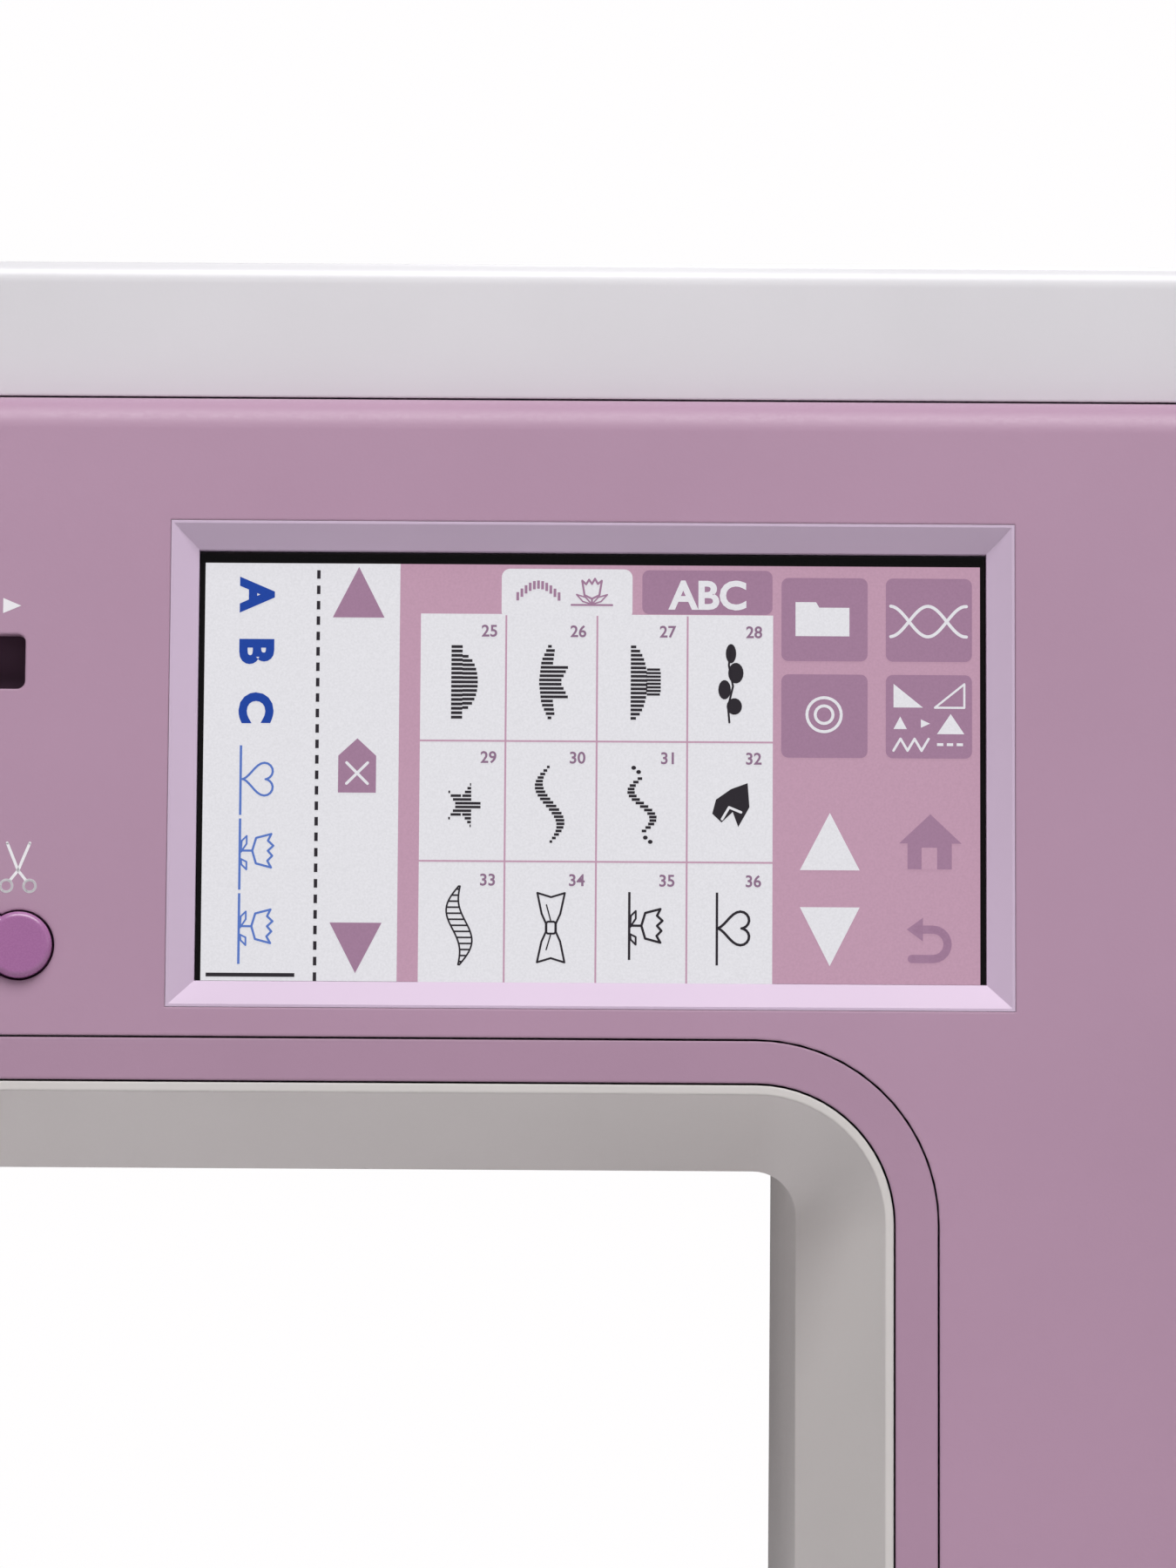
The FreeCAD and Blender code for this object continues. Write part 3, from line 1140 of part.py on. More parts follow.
def make_handwheel():
    """Hand wheel on the right end of the upper shaft, with finger grooves round its rim."""
    left = casing_right + wheel_gap
    disc = rod(handwheel_radius, (left, shaft_y, upper_shaft_z), wheel_width, X_AXIS)
    disc = disc.makeFillet(4.0, [e for e in disc.Edges if e.BoundBox.XLength < 0.01])
    dish = Part.makeCone(handwheel_radius - 9, handwheel_radius - 6, 6,
                         V(left + wheel_width - 6, shaft_y, upper_shaft_z), X_AXIS)
    hub = rod(12.0, (left + wheel_width - 7, shaft_y, upper_shaft_z), 5, X_AXIS)
    grooves = []
    for i in range(30):
        angle = 2 * math.pi * i / 30
        y = shaft_y + (handwheel_radius + 0.8) * math.cos(angle)
        z = upper_shaft_z + (handwheel_radius + 0.8) * math.sin(angle)
        grooves.append(rod(1.8, (left + 4, y, z), wheel_width - 8, X_AXIS))
    bore = rod(shaft_radius, (left - 1, shaft_y, upper_shaft_z), wheel_width - 5, X_AXIS)
    save("handwheel", disc.cut([dish] + grooves).fuse(hub).removeSplitter().cut(bore))


# ---------------------------------------------------------------- switch and sockets
socket_depth = 14.0


def make_sockets():
    """Rocker switch and the block of sockets low on the right end."""
    places = socket_places()
    y, z, wide, tall = places["power_switch"]
    half_y, half_z = wide / 2, tall / 2
    frame = block(casing_right - 12, casing_right, y - half_y, y + half_y, z - half_z, z + half_z)
    frame = frame.cut(block(casing_right - 10, casing_right + 1, y - half_y + 1.5, y + half_y - 1.5,
                            z - half_z + 1.5, z + half_z - 1.5))
    pin_x = casing_right - 4.0
    frame_y = y
    pivot = rod(1.0, (pin_x, y - half_y + 1, z), wide - 2, Y_AXIS)
    rocker_y, rocker_z = half_y - 1.8, half_z - 2.4
    rocker = block(pin_x - 2.5, casing_right + 1.5, y - rocker_y, y + rocker_y, z - rocker_z, z + rocker_z)
    rocker = rocker.cut(rod(1.0 + running_gap, (pin_x, y - half_y, z), wide, Y_AXIS))
    save("power_switch", rocker)
    blocks, cavities = [], []
    for name, (y, z, wide, tall) in list(places.items())[1:]:
        blocks.append(block(casing_right - socket_depth, casing_right - 0.3, y - wide / 2, y + wide / 2,
                            z - tall / 2, z + tall / 2))
        if name == "foot_control_jack":
            cavities.append(rod(4.0, (casing_right - socket_depth + 2, y, z), socket_depth, X_AXIS))
        else:
            cavities.append(block(casing_right - socket_depth + 2, casing_right + 1, y - wide / 2 + 1.5,
                                  y + wide / 2 - 1.5, z - tall / 2 + 1.5, z + tall / 2 - 1.5))
    first, last = places["power_inlet"], places["usb_port"]
    back = block(casing_right - socket_depth - 1, casing_right - socket_depth + 1.5, first[0] - first[2] / 2,
                 last[0] + last[2] / 2, last[1] - 3, last[1] + 3)
    blades = [block(casing_right - socket_depth + 1, casing_right - 5, first[0] + dy - 1, first[0] + dy + 1,
                    first[1] + dz - 2.2, first[1] + dz + 2.2) for dy, dz in ((-6, -2), (0, 3), (6, -2))]
    sockets = fuse(blocks + [back]).cut(cavities)
    bridge = block(casing_right - socket_depth - 1, casing_right - 12 + 1, frame_y - half_y, first[0],
                   first[1] - 3,
                   first[1] + 3)
    save("socket_block", fuse([sockets, frame, pivot, bridge] + blades))


# ---------------------------------------------------------------- build every node
os.makedirs("parts", exist_ok=True)
make_covers()
make_screen()
make_keys()
make_boards()
make_speed_slider()
make_base()
make_free_arm()
make_extension_table()
make_shafts()
make_motor()
make_frames()
make_hook()
make_feed()
make_needle_bar()
make_presser()
make_takeup()
make_head_fittings()
make_top()
make_handle()
make_handwheel()
make_sockets()
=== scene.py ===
"""Looks of the computerised sewing machine: materials, lit display, printed signs, studio and camera.

Drawings on the panel are in millimetres, measured from the middle of the display (x right, y up the
panel), and drawings on level surfaces from the middle of the machine. `on_panel` and `on_level` turn
them into metres in the machine's frame. Materials and the studio are in metres.
"""
import math

import bmesh
import bpy
from mathutils import Matrix, Vector


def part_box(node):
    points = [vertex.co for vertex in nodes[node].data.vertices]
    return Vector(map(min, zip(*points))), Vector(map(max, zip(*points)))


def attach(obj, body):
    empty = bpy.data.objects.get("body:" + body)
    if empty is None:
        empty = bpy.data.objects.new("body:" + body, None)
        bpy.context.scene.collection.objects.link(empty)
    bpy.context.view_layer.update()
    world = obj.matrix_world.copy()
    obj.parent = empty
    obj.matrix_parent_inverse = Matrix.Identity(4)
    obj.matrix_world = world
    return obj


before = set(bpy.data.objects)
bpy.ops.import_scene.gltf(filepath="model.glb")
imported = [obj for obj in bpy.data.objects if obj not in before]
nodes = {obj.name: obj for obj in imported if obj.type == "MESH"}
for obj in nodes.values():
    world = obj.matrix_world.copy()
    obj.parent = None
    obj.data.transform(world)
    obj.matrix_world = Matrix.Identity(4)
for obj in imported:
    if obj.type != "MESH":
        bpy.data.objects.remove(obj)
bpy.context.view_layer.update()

MM = 0.001


# ---------------------------------------------------------------- node helpers
def new_material(name):
    """Empty node material with a Principled shader; returns material, nodes, links and shader."""
    material = bpy.data.materials.new(name)
    material.use_nodes = True
    tree = material.node_tree
    return material, tree.nodes, tree.links, tree.nodes["Principled BSDF"]


def colour(red, green, blue):
    """Linear colour from the usual 0 to 255 values."""
    def linear(value):
        value /= 255.0
        # the two branches of the standard display curve
        return value / 12.92 if value <= 0.04045 else ((value + 0.055) / 1.055) ** 2.4
    return (linear(red), linear(green), linear(blue), 1.0)


def shade(base, factor):
    """The same colour, lighter or darker."""
    return tuple(min(1.0, channel * factor) for channel in base[:3]) + (1.0,)


def noise(tree_nodes, links, place, scale, detail=2.0, stretch=(1.0, 1.0, 1.0)):
    """Noise texture in object space, stretched if asked."""
    mapping = tree_nodes.new("ShaderNodeMapping")
    mapping.inputs["Scale"].default_value = stretch
    links.new(place.outputs["Object"], mapping.inputs["Vector"])
    texture = tree_nodes.new("ShaderNodeTexNoise")
    texture.inputs["Scale"].default_value = scale
    texture.inputs["Detail"].default_value = detail
    links.new(mapping.outputs["Vector"], texture.inputs["Vector"])
    return texture


def spread(tree_nodes, links, source, low, high, start=0.35, stop=0.65):
    """Map a noise value to a range."""
    node = tree_nodes.new("ShaderNodeMapRange")
    node.inputs["From Min"].default_value = start
    node.inputs["From Max"].default_value = stop
    node.inputs["To Min"].default_value = low
    node.inputs["To Max"].default_value = high
    links.new(source, node.inputs["Value"])
    return node.outputs["Result"]


def blend_colours(tree_nodes, links, factor, first, second):
    """Mix two colours by a value."""
    mix = tree_nodes.new("ShaderNodeMix")
    mix.data_type = "RGBA"
    links.new(factor, mix.inputs["Factor"])
    mix.inputs["A"].default_value = first
    mix.inputs["B"].default_value = second
    return mix.outputs["Result"]


def rounded_normal(tree_nodes, radius):
    """Normal that rounds every edge over a small radius."""
    bevel = tree_nodes.new("ShaderNodeBevel")
    bevel.samples = 4
    bevel.inputs["Radius"].default_value = radius
    return bevel.outputs["Normal"]


def surface_relief(tree_nodes, links, shader, height, relief, edge=None):
    """Bumps of a height in metres, on edges rounded over a small radius if one is given."""
    bump = tree_nodes.new("ShaderNodeBump")
    bump.inputs["Distance"].default_value = relief
    links.new(height, bump.inputs["Height"])
    if edge is not None:
        links.new(rounded_normal(tree_nodes, edge), bump.inputs["Normal"])
    links.new(bump.outputs["Normal"], shader.inputs["Normal"])


# ---------------------------------------------------------------- materials
PLASTIC_IOR = 1.48
CLEAR_IOR = 1.46
FLOW_SCALE = 14.0          # broad flow marks in moulded plastic
METAL_EDGE = 0.0002
SCRATCH_SCALE = 900.0
SMUDGE_SCALE = 60.0
PIXEL_SCALE = 3200.0


def plastic(name, base, roughness, grain, relief, sheen=0.0, edge=0.0005, coat=0.0, mottle=0.03):
    """Moulded plastic: fine spark grain, slight flow mottling, uneven gloss and rubbed edges."""
    material, tree, links, shader = new_material(name)
    place = tree.new("ShaderNodeTexCoord")
    large = noise(tree, links, place, FLOW_SCALE, 3.0)
    fine = noise(tree, links, place, grain)
    tone = spread(tree, links, large.outputs["Fac"], 0.0, 1.0)
    body = blend_colours(tree, links, tone, shade(base, 1.0 - mottle), shade(base, 1.0 + mottle))
    links.new(body, shader.inputs["Base Color"])
    links.new(spread(tree, links, fine.outputs["Fac"], roughness - 0.05, roughness + 0.07),
              shader.inputs["Roughness"])
    surface_relief(tree, links, shader, fine.outputs["Fac"], relief, edge)
    shader.inputs["Sheen Weight"].default_value = sheen
    shader.inputs["Coat Weight"].default_value = coat
    shader.inputs["Coat Roughness"].default_value = 0.12
    shader.inputs["IOR"].default_value = PLASTIC_IOR
    return material


def metal(name, base, roughness, stretch=(1.0, 1.0, 1.0), relief=0.000004, scratches=0.08):
    """Machined metal: directional scratches, smudges and softened edges."""
    material, tree, links, shader = new_material(name)
    place = tree.new("ShaderNodeTexCoord")
    lines = noise(tree, links, place, SCRATCH_SCALE, 3.0, stretch)
    smudge = noise(tree, links, place, SMUDGE_SCALE, 4.0)
    tone = spread(tree, links, smudge.outputs["Fac"], 0.0, 1.0)
    links.new(blend_colours(tree, links, tone, shade(base, 0.93), base), shader.inputs["Base Color"])
    shader.inputs["Metallic"].default_value = 1.0
    smoothest = max(0.04, roughness - scratches)
    gloss = spread(tree, links, lines.outputs["Fac"], smoothest, roughness + scratches)
    links.new(gloss, shader.inputs["Roughness"])
    surface_relief(tree, links, shader, lines.outputs["Fac"], relief, METAL_EDGE)
    return material


def clear(name, tint, roughness):
    """Clear moulded plastic with faint flow marks."""
    material, tree, links, shader = new_material(name)
    place = tree.new("ShaderNodeTexCoord")
    flow = noise(tree, links, place, 40.0)
    surface_relief(tree, links, shader, flow.outputs["Fac"], 0.00002)
    body = blend_colours(tree, links, flow.outputs["Fac"], shade(tint, 0.97), tint)
    links.new(body, shader.inputs["Base Color"])
    shader.inputs["Transmission Weight"].default_value = 0.92
    shader.inputs["Roughness"].default_value = roughness
    shader.inputs["IOR"].default_value = CLEAR_IOR
    return material


def lit(name, base, strength=0.84):
    """One ink of the display: back light seen through a fine pixel grid, dark when it is off."""
    material, tree, links, shader = new_material(name)
    place = tree.new("ShaderNodeTexCoord")
    cells = noise(tree, links, place, PIXEL_SCALE, 1.0)
    tone = spread(tree, links, cells.outputs["Fac"], 0.0, 1.0, 0.3, 0.7)
    links.new(blend_colours(tree, links, tone, shade(base, 0.97), shade(base, 1.02)),
              shader.inputs["Emission Color"])
    links.new(blend_colours(tree, links, tone, shade(base, 0.13), shade(base, 0.16)),
              shader.inputs["Base Color"])
    shader.inputs["Emission Strength"].default_value = strength
    shader.inputs["Roughness"].default_value = 0.3
    shader.inputs["Specular IOR Level"].default_value = 0.25
    return material


LILAC = colour(183, 147, 172)
WHITE_BODY = colour(232, 230, 234)
WARM_GREY = colour(216, 211, 209)


def make_materials():
    """Every material of the machine, by name."""
    return {
        "lilac": plastic("lilac_satin", LILAC, 0.46, grain=1900.0, relief=0.000012, sheen=0.05),
        # the trim is the panel's lilac darkened by 0.93: painted shade for the band between the seam and the
        # throat, which sits a little tilted and recessed
        "trim": plastic("lilac_trim_painted_shade", shade(LILAC, 0.93), 0.48, grain=1900.0, relief=0.000012),
        # the bezel's base is lighter and bluer than the panel's lilac: partly the frame's own tone, partly
        # painted reflection of the white studio light on its bevels
        "bezel": plastic("bezel_lilac_and_painted_reflection", colour(210, 188, 212), 0.36, grain=5000.0, relief=0.000002,
                         edge=0.00012, coat=0.05),
        "liner": plastic("throat_grey", WARM_GREY, 0.42, grain=1500.0, relief=0.00001),
        "white": plastic("body_white", WHITE_BODY, 0.34, grain=1700.0, relief=0.000008, coat=0.1),
        "grey": plastic("base_grey", colour(150, 146, 152), 0.5, grain=1200.0, relief=0.00002),
        "purple": plastic("key_purple", colour(170, 112, 163), 0.26, grain=4000.0, relief=0.000002,
                          edge=0.0003, coat=0.35),
        "dark": plastic("dark_plastic", colour(38, 36, 40), 0.42, grain=1400.0, relief=0.000015),
        "glass": plastic("display_glass", colour(14, 11, 13), 0.08, grain=900.0, relief=0.0, edge=0.0001,
                         coat=0.6),
        "rubber": plastic("rubber", colour(36, 35, 36), 0.8, grain=700.0, relief=0.00003),
        "steel": metal("brushed_steel", colour(196, 196, 198), 0.3, (1.0, 30.0, 30.0)),
        "chrome": metal("chrome", colour(226, 226, 230), 0.1, (30.0, 30.0, 1.0), 0.000001, 0.03),
        "cast": metal("cast_aluminium", colour(170, 172, 174), 0.5, relief=0.00003),
        "brass": metal("sintered_bronze", colour(186, 150, 92), 0.42, relief=0.00001),
        "clear": clear("clear_plastic", colour(236, 238, 242), 0.06),
        "board": plastic("solder_mask", colour(92, 62, 84), 0.4, grain=800.0, relief=0.00002),
        "lamp": lit("frosted_lamp", colour(250, 250, 246), 1.6),
    }


USES = {
    "lilac": ["front_cover", "accessory_lid"],
    "trim": ["throat_trim"],
    "bezel": ["screen_bezel"],
    "liner": ["throat_liner"],
    "white": ["rear_cover", "face_cover", "right_cover", "free_arm_shell", "extension_table", "top_lid",
              "handwheel", "spool_pin", "spool_cap", "winder_lever", "needle_threader"],
    "grey": ["base_cover", "spool_tray", "carry_handle"],
    "purple": ["thread_cutter_key", "needle_position_key", "reverse_key", "start_stop_key", "speed_slider"],
    "dark": ["power_switch", "socket_block", "presser_lifter", "feed_drop_lever", "bobbin_case", "motor",
             "step_motors", "lcd_panel"],
    "glass": ["touch_glass"],
    "rubber": ["rubber_feet", "drive_belts"],
    "steel": ["needle_plate", "machine_screws", "hinge_pins", "upper_shaft", "lower_shaft", "motor_shaft",
              "rotary_hook", "feed_dog", "feed_carrier", "winder_spindle", "tension_unit", "presser_spring"],
    "chrome": ["needle_bar", "needle", "presser_bar", "presser_foot", "take_up_lever"],
    "cast": ["arm_frame", "bed_frame", "needle_bar_frame"],
    "brass": ["shaft_bushings"],
    "clear": ["bobbin_cover", "bobbin"],
    "board": ["circuit_boards"],
    "lamp": ["led_lamp"],
}


def dress_nodes(materials):
    """Give each part of the frame its material."""
    for key, names in USES.items():
        for name in names:
            slots = nodes[name].data.materials
            slots.clear()
            slots.append(materials[key])


# ---------------------------------------------------------------- drawing on the panel
SCREEN_X = 3.3             # middle of the display, right of the machine's middle
SCREEN_UP = 46.7           # and up the panel from its lower edge
PANEL_EDGE_Y = -66.0       # the panel's lower edge
PANEL_EDGE_Z = 207.4
PANEL_TILT = math.radians(7.0)


def on_panel(out):
    """Gives each point of the tilted panel, `out` millimetres in front of its surface."""
    def place(x, y):
        up = SCREEN_UP + y
        depth = PANEL_EDGE_Y + up * math.sin(PANEL_TILT) - out * math.cos(PANEL_TILT)
        height = PANEL_EDGE_Z + up * math.cos(PANEL_TILT) + out * math.sin(PANEL_TILT)
        return Vector(((SCREEN_X + x) * MM, depth * MM, height * MM))
    return place


def on_level(height):
    """Gives each point of a level surface at a height, from the machine's middle."""
    return lambda x, y: Vector((x * MM, y * MM, height * MM))


def draw(name, outlines, material, place, body="machine"):
    """Thin printed or lit shapes on a surface; `place` turns a drawing's point into the machine's."""
    mesh = bpy.data.meshes.new(name)
    build = bmesh.new()
    for outline in outlines:
        build.faces.new([build.verts.new(place(x, y)) for x, y in outline])
    corner = place(0, 0)
    facing = (place(1, 0) - corner).cross(place(0, 1) - corner)
    for face in build.faces:
        face.normal_update()
        if face.normal.dot(facing) < 0:
            face.normal_flip()
    build.to_mesh(mesh)
    build.free()
    piece = bpy.data.objects.new(name, mesh)
    bpy.context.collection.objects.link(piece)
    mesh.materials.append(material)
    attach(piece, body)


def box(left, right, low, high):
    """Rectangle."""
    return [(left, low), (right, low), (right, high), (left, high)]


def arc(x, y, wide, tall, start=0.0, stop=360.0, count=32):
    """Part of an ellipse, angles in degrees."""
    turn = [math.radians(start + (stop - start) * i / count) for i in range(count + 1)]
    points = [(x + wide * math.cos(a), y + tall * math.sin(a)) for a in turn]
    return points[:-1] if stop - start >= 360.0 else points


def rounded(left, right, low, high, radius):
    """Rectangle with round corners."""
    corners = ((right, high, 0), (left, high, 90), (left, low, 180), (right, low, 270))
    points = []
    for x, y, start in corners:
        middle_x = x - radius if x == right else x + radius
        middle_y = y - radius if y == high else y + radius
        points += arc(middle_x, middle_y, radius, radius, start, start + 90, 6)
    return points


def moved(shapes, x, y):
    """Shapes shifted to another place."""
    return [[(u + x, v + y) for u, v in shape] for shape in shapes]


def stroke(points, width):
    """Line of even width with round joints."""
    shapes = [arc(x, y, width / 2, width / 2, count=12) for x, y in points]
    for (x0, y0), (x1, y1) in zip(points, points[1:]):
        length = math.hypot(x1 - x0, y1 - y0)
        across = (-(y1 - y0) / length * width / 2, (x1 - x0) / length * width / 2)
        shapes.append([(x0 + across[0], y0 + across[1]), (x0 - across[0], y0 - across[1]),
                       (x1 - across[0], y1 - across[1]), (x1 + across[0], y1 + across[1])])
    return shapes


def fit(shape, left, right, low, high):
    """Shape drawn in the unit square, stretched into a rectangle."""
    return [(left + u * (right - left), low + v * (high - low)) for u, v in shape]


def closed(outline, width):
    """Outline drawn as a line."""
    return stroke(outline + outline[:1], width)


def hatch(outline, pitch=0.62, cover=0.66):
    """Satin stitches: level bars that fill an outline."""
    heights = [y for _, y in outline]
    rows = max(1, round((max(heights) - min(heights)) / pitch))
    step = (max(heights) - min(heights)) / rows
    bars = []
    for row in range(rows):
        y = min(heights) + (row + 0.5) * step
        crossings = sorted(x0 + (y - y0) * (x1 - x0) / (y1 - y0)
                           for (x0, y0), (x1, y1) in zip(outline, outline[1:] + outline[:1])
                           if (y0 > y) != (y1 > y))
        for start, stop in zip(crossings[::2], crossings[1::2]):
            bars.append(box(start, stop, y - cover * step / 2, y + cover * step / 2))
    return bars


def swelling(points, ends, middle):
    """Outline of a line that is thin at its ends and thick in its middle, for lines that run upwards."""
    last = len(points) - 1
    half = [ends + (middle - ends) * math.sin(math.pi * i / last) for i in range(last + 1)]
    left = [(x - w, y) for (x, y), w in zip(points, half)]
    right = [(x + w, y) for (x, y), w in zip(points, half)]
    return left + right[::-1]


def flower(x, low, high, width, thin):
    """Tulip on its side: cup, stalk and a leaf each side, right of a line at x."""
    middle = (low + high) / 2
    cup_left = x + FLOWER_STALK
    shapes = closed(fit(TULIP, cup_left, cup_left + width, low + 0.6, high), thin)
    shapes += stroke([(x, middle + 0.3), (cup_left, middle + 0.3)], thin)
    for side in (-1, 1):
        leaf = [(x + 0.1, middle - 0.4 + side * 0.5), (x + 0.9, middle + side * 1.3),
                (x + 0.9, middle + side * 2.4), (x + 0.2, middle + side * 1.7)]
        shapes += closed(leaf, thin * 0.8)
    return shapes


def make_heart(count=36):
    """Heart in the unit square with its tip to the left, from the usual heart curve."""
    turns = [math.tau * i / count for i in range(count)]
    across = [16 * math.sin(a) ** 3 for a in turns]
    along = [13 * math.cos(a) - 5 * math.cos(2 * a) - 2 * math.cos(3 * a) - math.cos(4 * a) for a in turns]
    low, high = min(along), max(along)
    return [((v - low) / (high - low), u / 32 + 0.5) for u, v in zip(across, along)]


def make_star(points, inner):
    """Star in the unit square."""
    spokes = [(math.pi * i / points, 0.5 if i % 2 == 0 else inner) for i in range(2 * points)]
    return [(0.5 + r * math.cos(a), 0.5 + r * math.sin(a)) for a, r in spokes]


FLOWER_STALK = 1.7         # from the line to the cup of a flower
# outlines in the unit square
HEART = make_heart()
TULIP = [(0.0, 0.5), (0.18, 0.12), (0.9, 0.0), (0.72, 0.2), (0.95, 0.35), (0.74, 0.5), (1.0, 0.65),
         (0.74, 0.8), (0.9, 1.0), (0.18, 0.88)]
LEAF = [(0.32, 0.0), (0.52, 0.06), (0.45, 0.28), (1.0, 0.26), (0.7, 0.5), (1.0, 0.74), (0.45, 0.72),
        (0.52, 0.94), (0.32, 1.0), (0.08, 0.78), (0.0, 0.5), (0.08, 0.22)]
BELL = [(0.0, 0.3), (0.25, 0.1), (0.55, 0.34), (0.7, 0.0), (1.0, 0.45), (0.95, 1.0), (0.5, 0.86), (0.1, 0.62)]
BOW = [(0.0, 0.0), (0.5, 0.06), (1.0, 0.0), (0.84, 0.3), (0.68, 0.44), (0.68, 0.56), (0.84, 0.7), (1.0, 1.0),
       (0.5, 0.94), (0.0, 1.0), (0.16, 0.7), (0.32, 0.56), (0.32, 0.44), (0.16, 0.3)]
TRIANGLE_UP = [(0.0, 0.0), (1.0, 0.0), (0.5, 1.0)]
TRIANGLE_DOWN = [(0.0, 1.0), (0.5, 0.0), (1.0, 1.0)]
TRIANGLE_RIGHT = [(0.0, 0.0), (1.0, 0.5), (0.0, 1.0)]
TAG = [(0.0, 0.0), (1.0, 0.0), (1.0, 0.68), (0.5, 1.0), (0.0, 0.68)]
FOLDER = [(0.0, 0.0), (1.0, 0.0), (1.0, 0.84), (0.44, 0.84), (0.38, 1.0), (0.0, 1.0)]


def s_curve(left, right, low, high, count=14):
    """Points of an upright S."""
    steps = [i / count for i in range(count + 1)]
    middle, half = (left + right) / 2, (right - left) / 2
    return [(middle + half * math.sin(math.tau * t), low + t * (high - low)) for t in steps]


def letters(text, x, y, height, turned=False, bold=0.0):
    """Outlines of plain figures or letters, centred at a point."""
    curve = bpy.data.curves.new("figures", "FONT")
    curve.body = text
    curve.offset = bold
    curve.resolution_u = 4
    holder = bpy.data.objects.new("figures", curve)
    bpy.context.collection.objects.link(holder)
    bpy.context.view_layer.update()
    mesh = bpy.data.meshes.new_from_object(holder)
    xs = [v.co.x for v in mesh.vertices]
    ys = [v.co.y for v in mesh.vertices]
    scale = height / (max(ys) - min(ys))
    middle_x, middle_y = (max(xs) + min(xs)) / 2, (max(ys) + min(ys)) / 2
    shapes = []
    for face in mesh.polygons:
        outline = []
        for index in face.vertices:
            u = (mesh.vertices[index].co.x - middle_x) * scale
            v = (mesh.vertices[index].co.y - middle_y) * scale
            outline.append((x + v, y - u) if turned else (x + u, y + v))
        shapes.append(outline)
    bpy.data.objects.remove(holder)
    bpy.data.curves.remove(curve)
    bpy.data.meshes.remove(mesh)
    return shapes


# ---------------------------------------------------------------- the lit display
GLASS_DEPTH = 3.6          # from the panel's surface down to the display glass
DISPLAY_DROP = -0.7        # the lit picture sits a little low in its window
DISPLAY_HALF_WIDTH = 55.35
DISPLAY_TOP = 29.2
DISPLAY_BOTTOM = -30.75
LAYER = 0.04               # each layer of the picture lies this far above the last
LINE_LAYER = 6             # lines and signs on the coloured fields, which fill the layers below
SIGN_LAYER = 7             # signs on top of shapes in the line layer
TOP_LAYER = 8
COLUMN_RIGHT = -27.5       # right edge of the column with the row of stitches
GRID_LEFT, GRID_RIGHT = -24.5, 25.8
GRID_BOTTOM, GRID_TOP = -30.2, 22.75
GRID_COLUMN_RULES = (-12.3, 0.7, 13.6)
GRID_ROW_RULES = (4.45, -12.8)
RULE_HALF_WIDTH = 0.13
BUTTON_WIDTH, BUTTON_HEIGHT = 12.3, 12.0
BUTTON_COLUMNS = (27.0, 41.9)
BUTTON_ROWS = (2.3, 16.2)


def display_areas(ink):
    """Coloured fields of the picture, from the back to the front."""
    low, high = DISPLAY_BOTTOM - DISPLAY_DROP, DISPLAY_TOP - DISPLAY_DROP
    grid = box(GRID_LEFT, GRID_RIGHT, GRID_BOTTOM, GRID_TOP)
    open_tab = rounded(-13.0, 5.7, 22.0, 29.3, 1.2)
    closed_tab = rounded(7.1, 25.7, 22.85, 29.2, 1.0)
    buttons = [rounded(x, x + BUTTON_WIDTH, y, y + BUTTON_HEIGHT, 1.0)
               for x in BUTTON_COLUMNS for y in BUTTON_ROWS]
    layers = [
        ("display_field", [box(COLUMN_RIGHT, DISPLAY_HALF_WIDTH, low, high)], "rose"),
        ("display_column", [box(-DISPLAY_HALF_WIDTH, COLUMN_RIGHT, low, high)], "paper"),
        ("display_grid", [grid, open_tab], "paper"),
        ("display_tab", [closed_tab], "mauve"),
        ("display_buttons", buttons, "mauve"),
    ]
    for depth, (name, shapes, key) in enumerate(layers):
        show(name, shapes, ink[key], depth + 1)
    rules = [box(x - RULE_HALF_WIDTH, x + RULE_HALF_WIDTH, GRID_BOTTOM, GRID_TOP - 0.2)
             for x in GRID_COLUMN_RULES]
    rules += [box(GRID_LEFT, GRID_RIGHT, y - RULE_HALF_WIDTH, y + RULE_HALF_WIDTH) for y in GRID_ROW_RULES]
    show("display_rules", rules, ink["rose"], LINE_LAYER)


def show(name, shapes, material, layer):
    """Shapes on one layer of the display picture."""
    lowered = moved(shapes, 0.0, DISPLAY_DROP)
    draw(name, lowered, material, on_panel(LAYER * layer - GLASS_DEPTH))


DASH_COUNT = 27            # broken line beside the row of stitches
DASH_PITCH = 2.22
DASH_LENGTH = 1.24
DASH_TOP = 28.9
SEWN_LETTERS = {"A": 25.3, "B": 17.1, "C": 9.0}
SEWN_SEAMS = ((3.6, -6.4), (-6.9, -17.1), (-17.6, -27.7))
SEWN_FLOWERS = (-8.3, -19.1)
SEWN_LINE = 0.32           # width of the thin lines


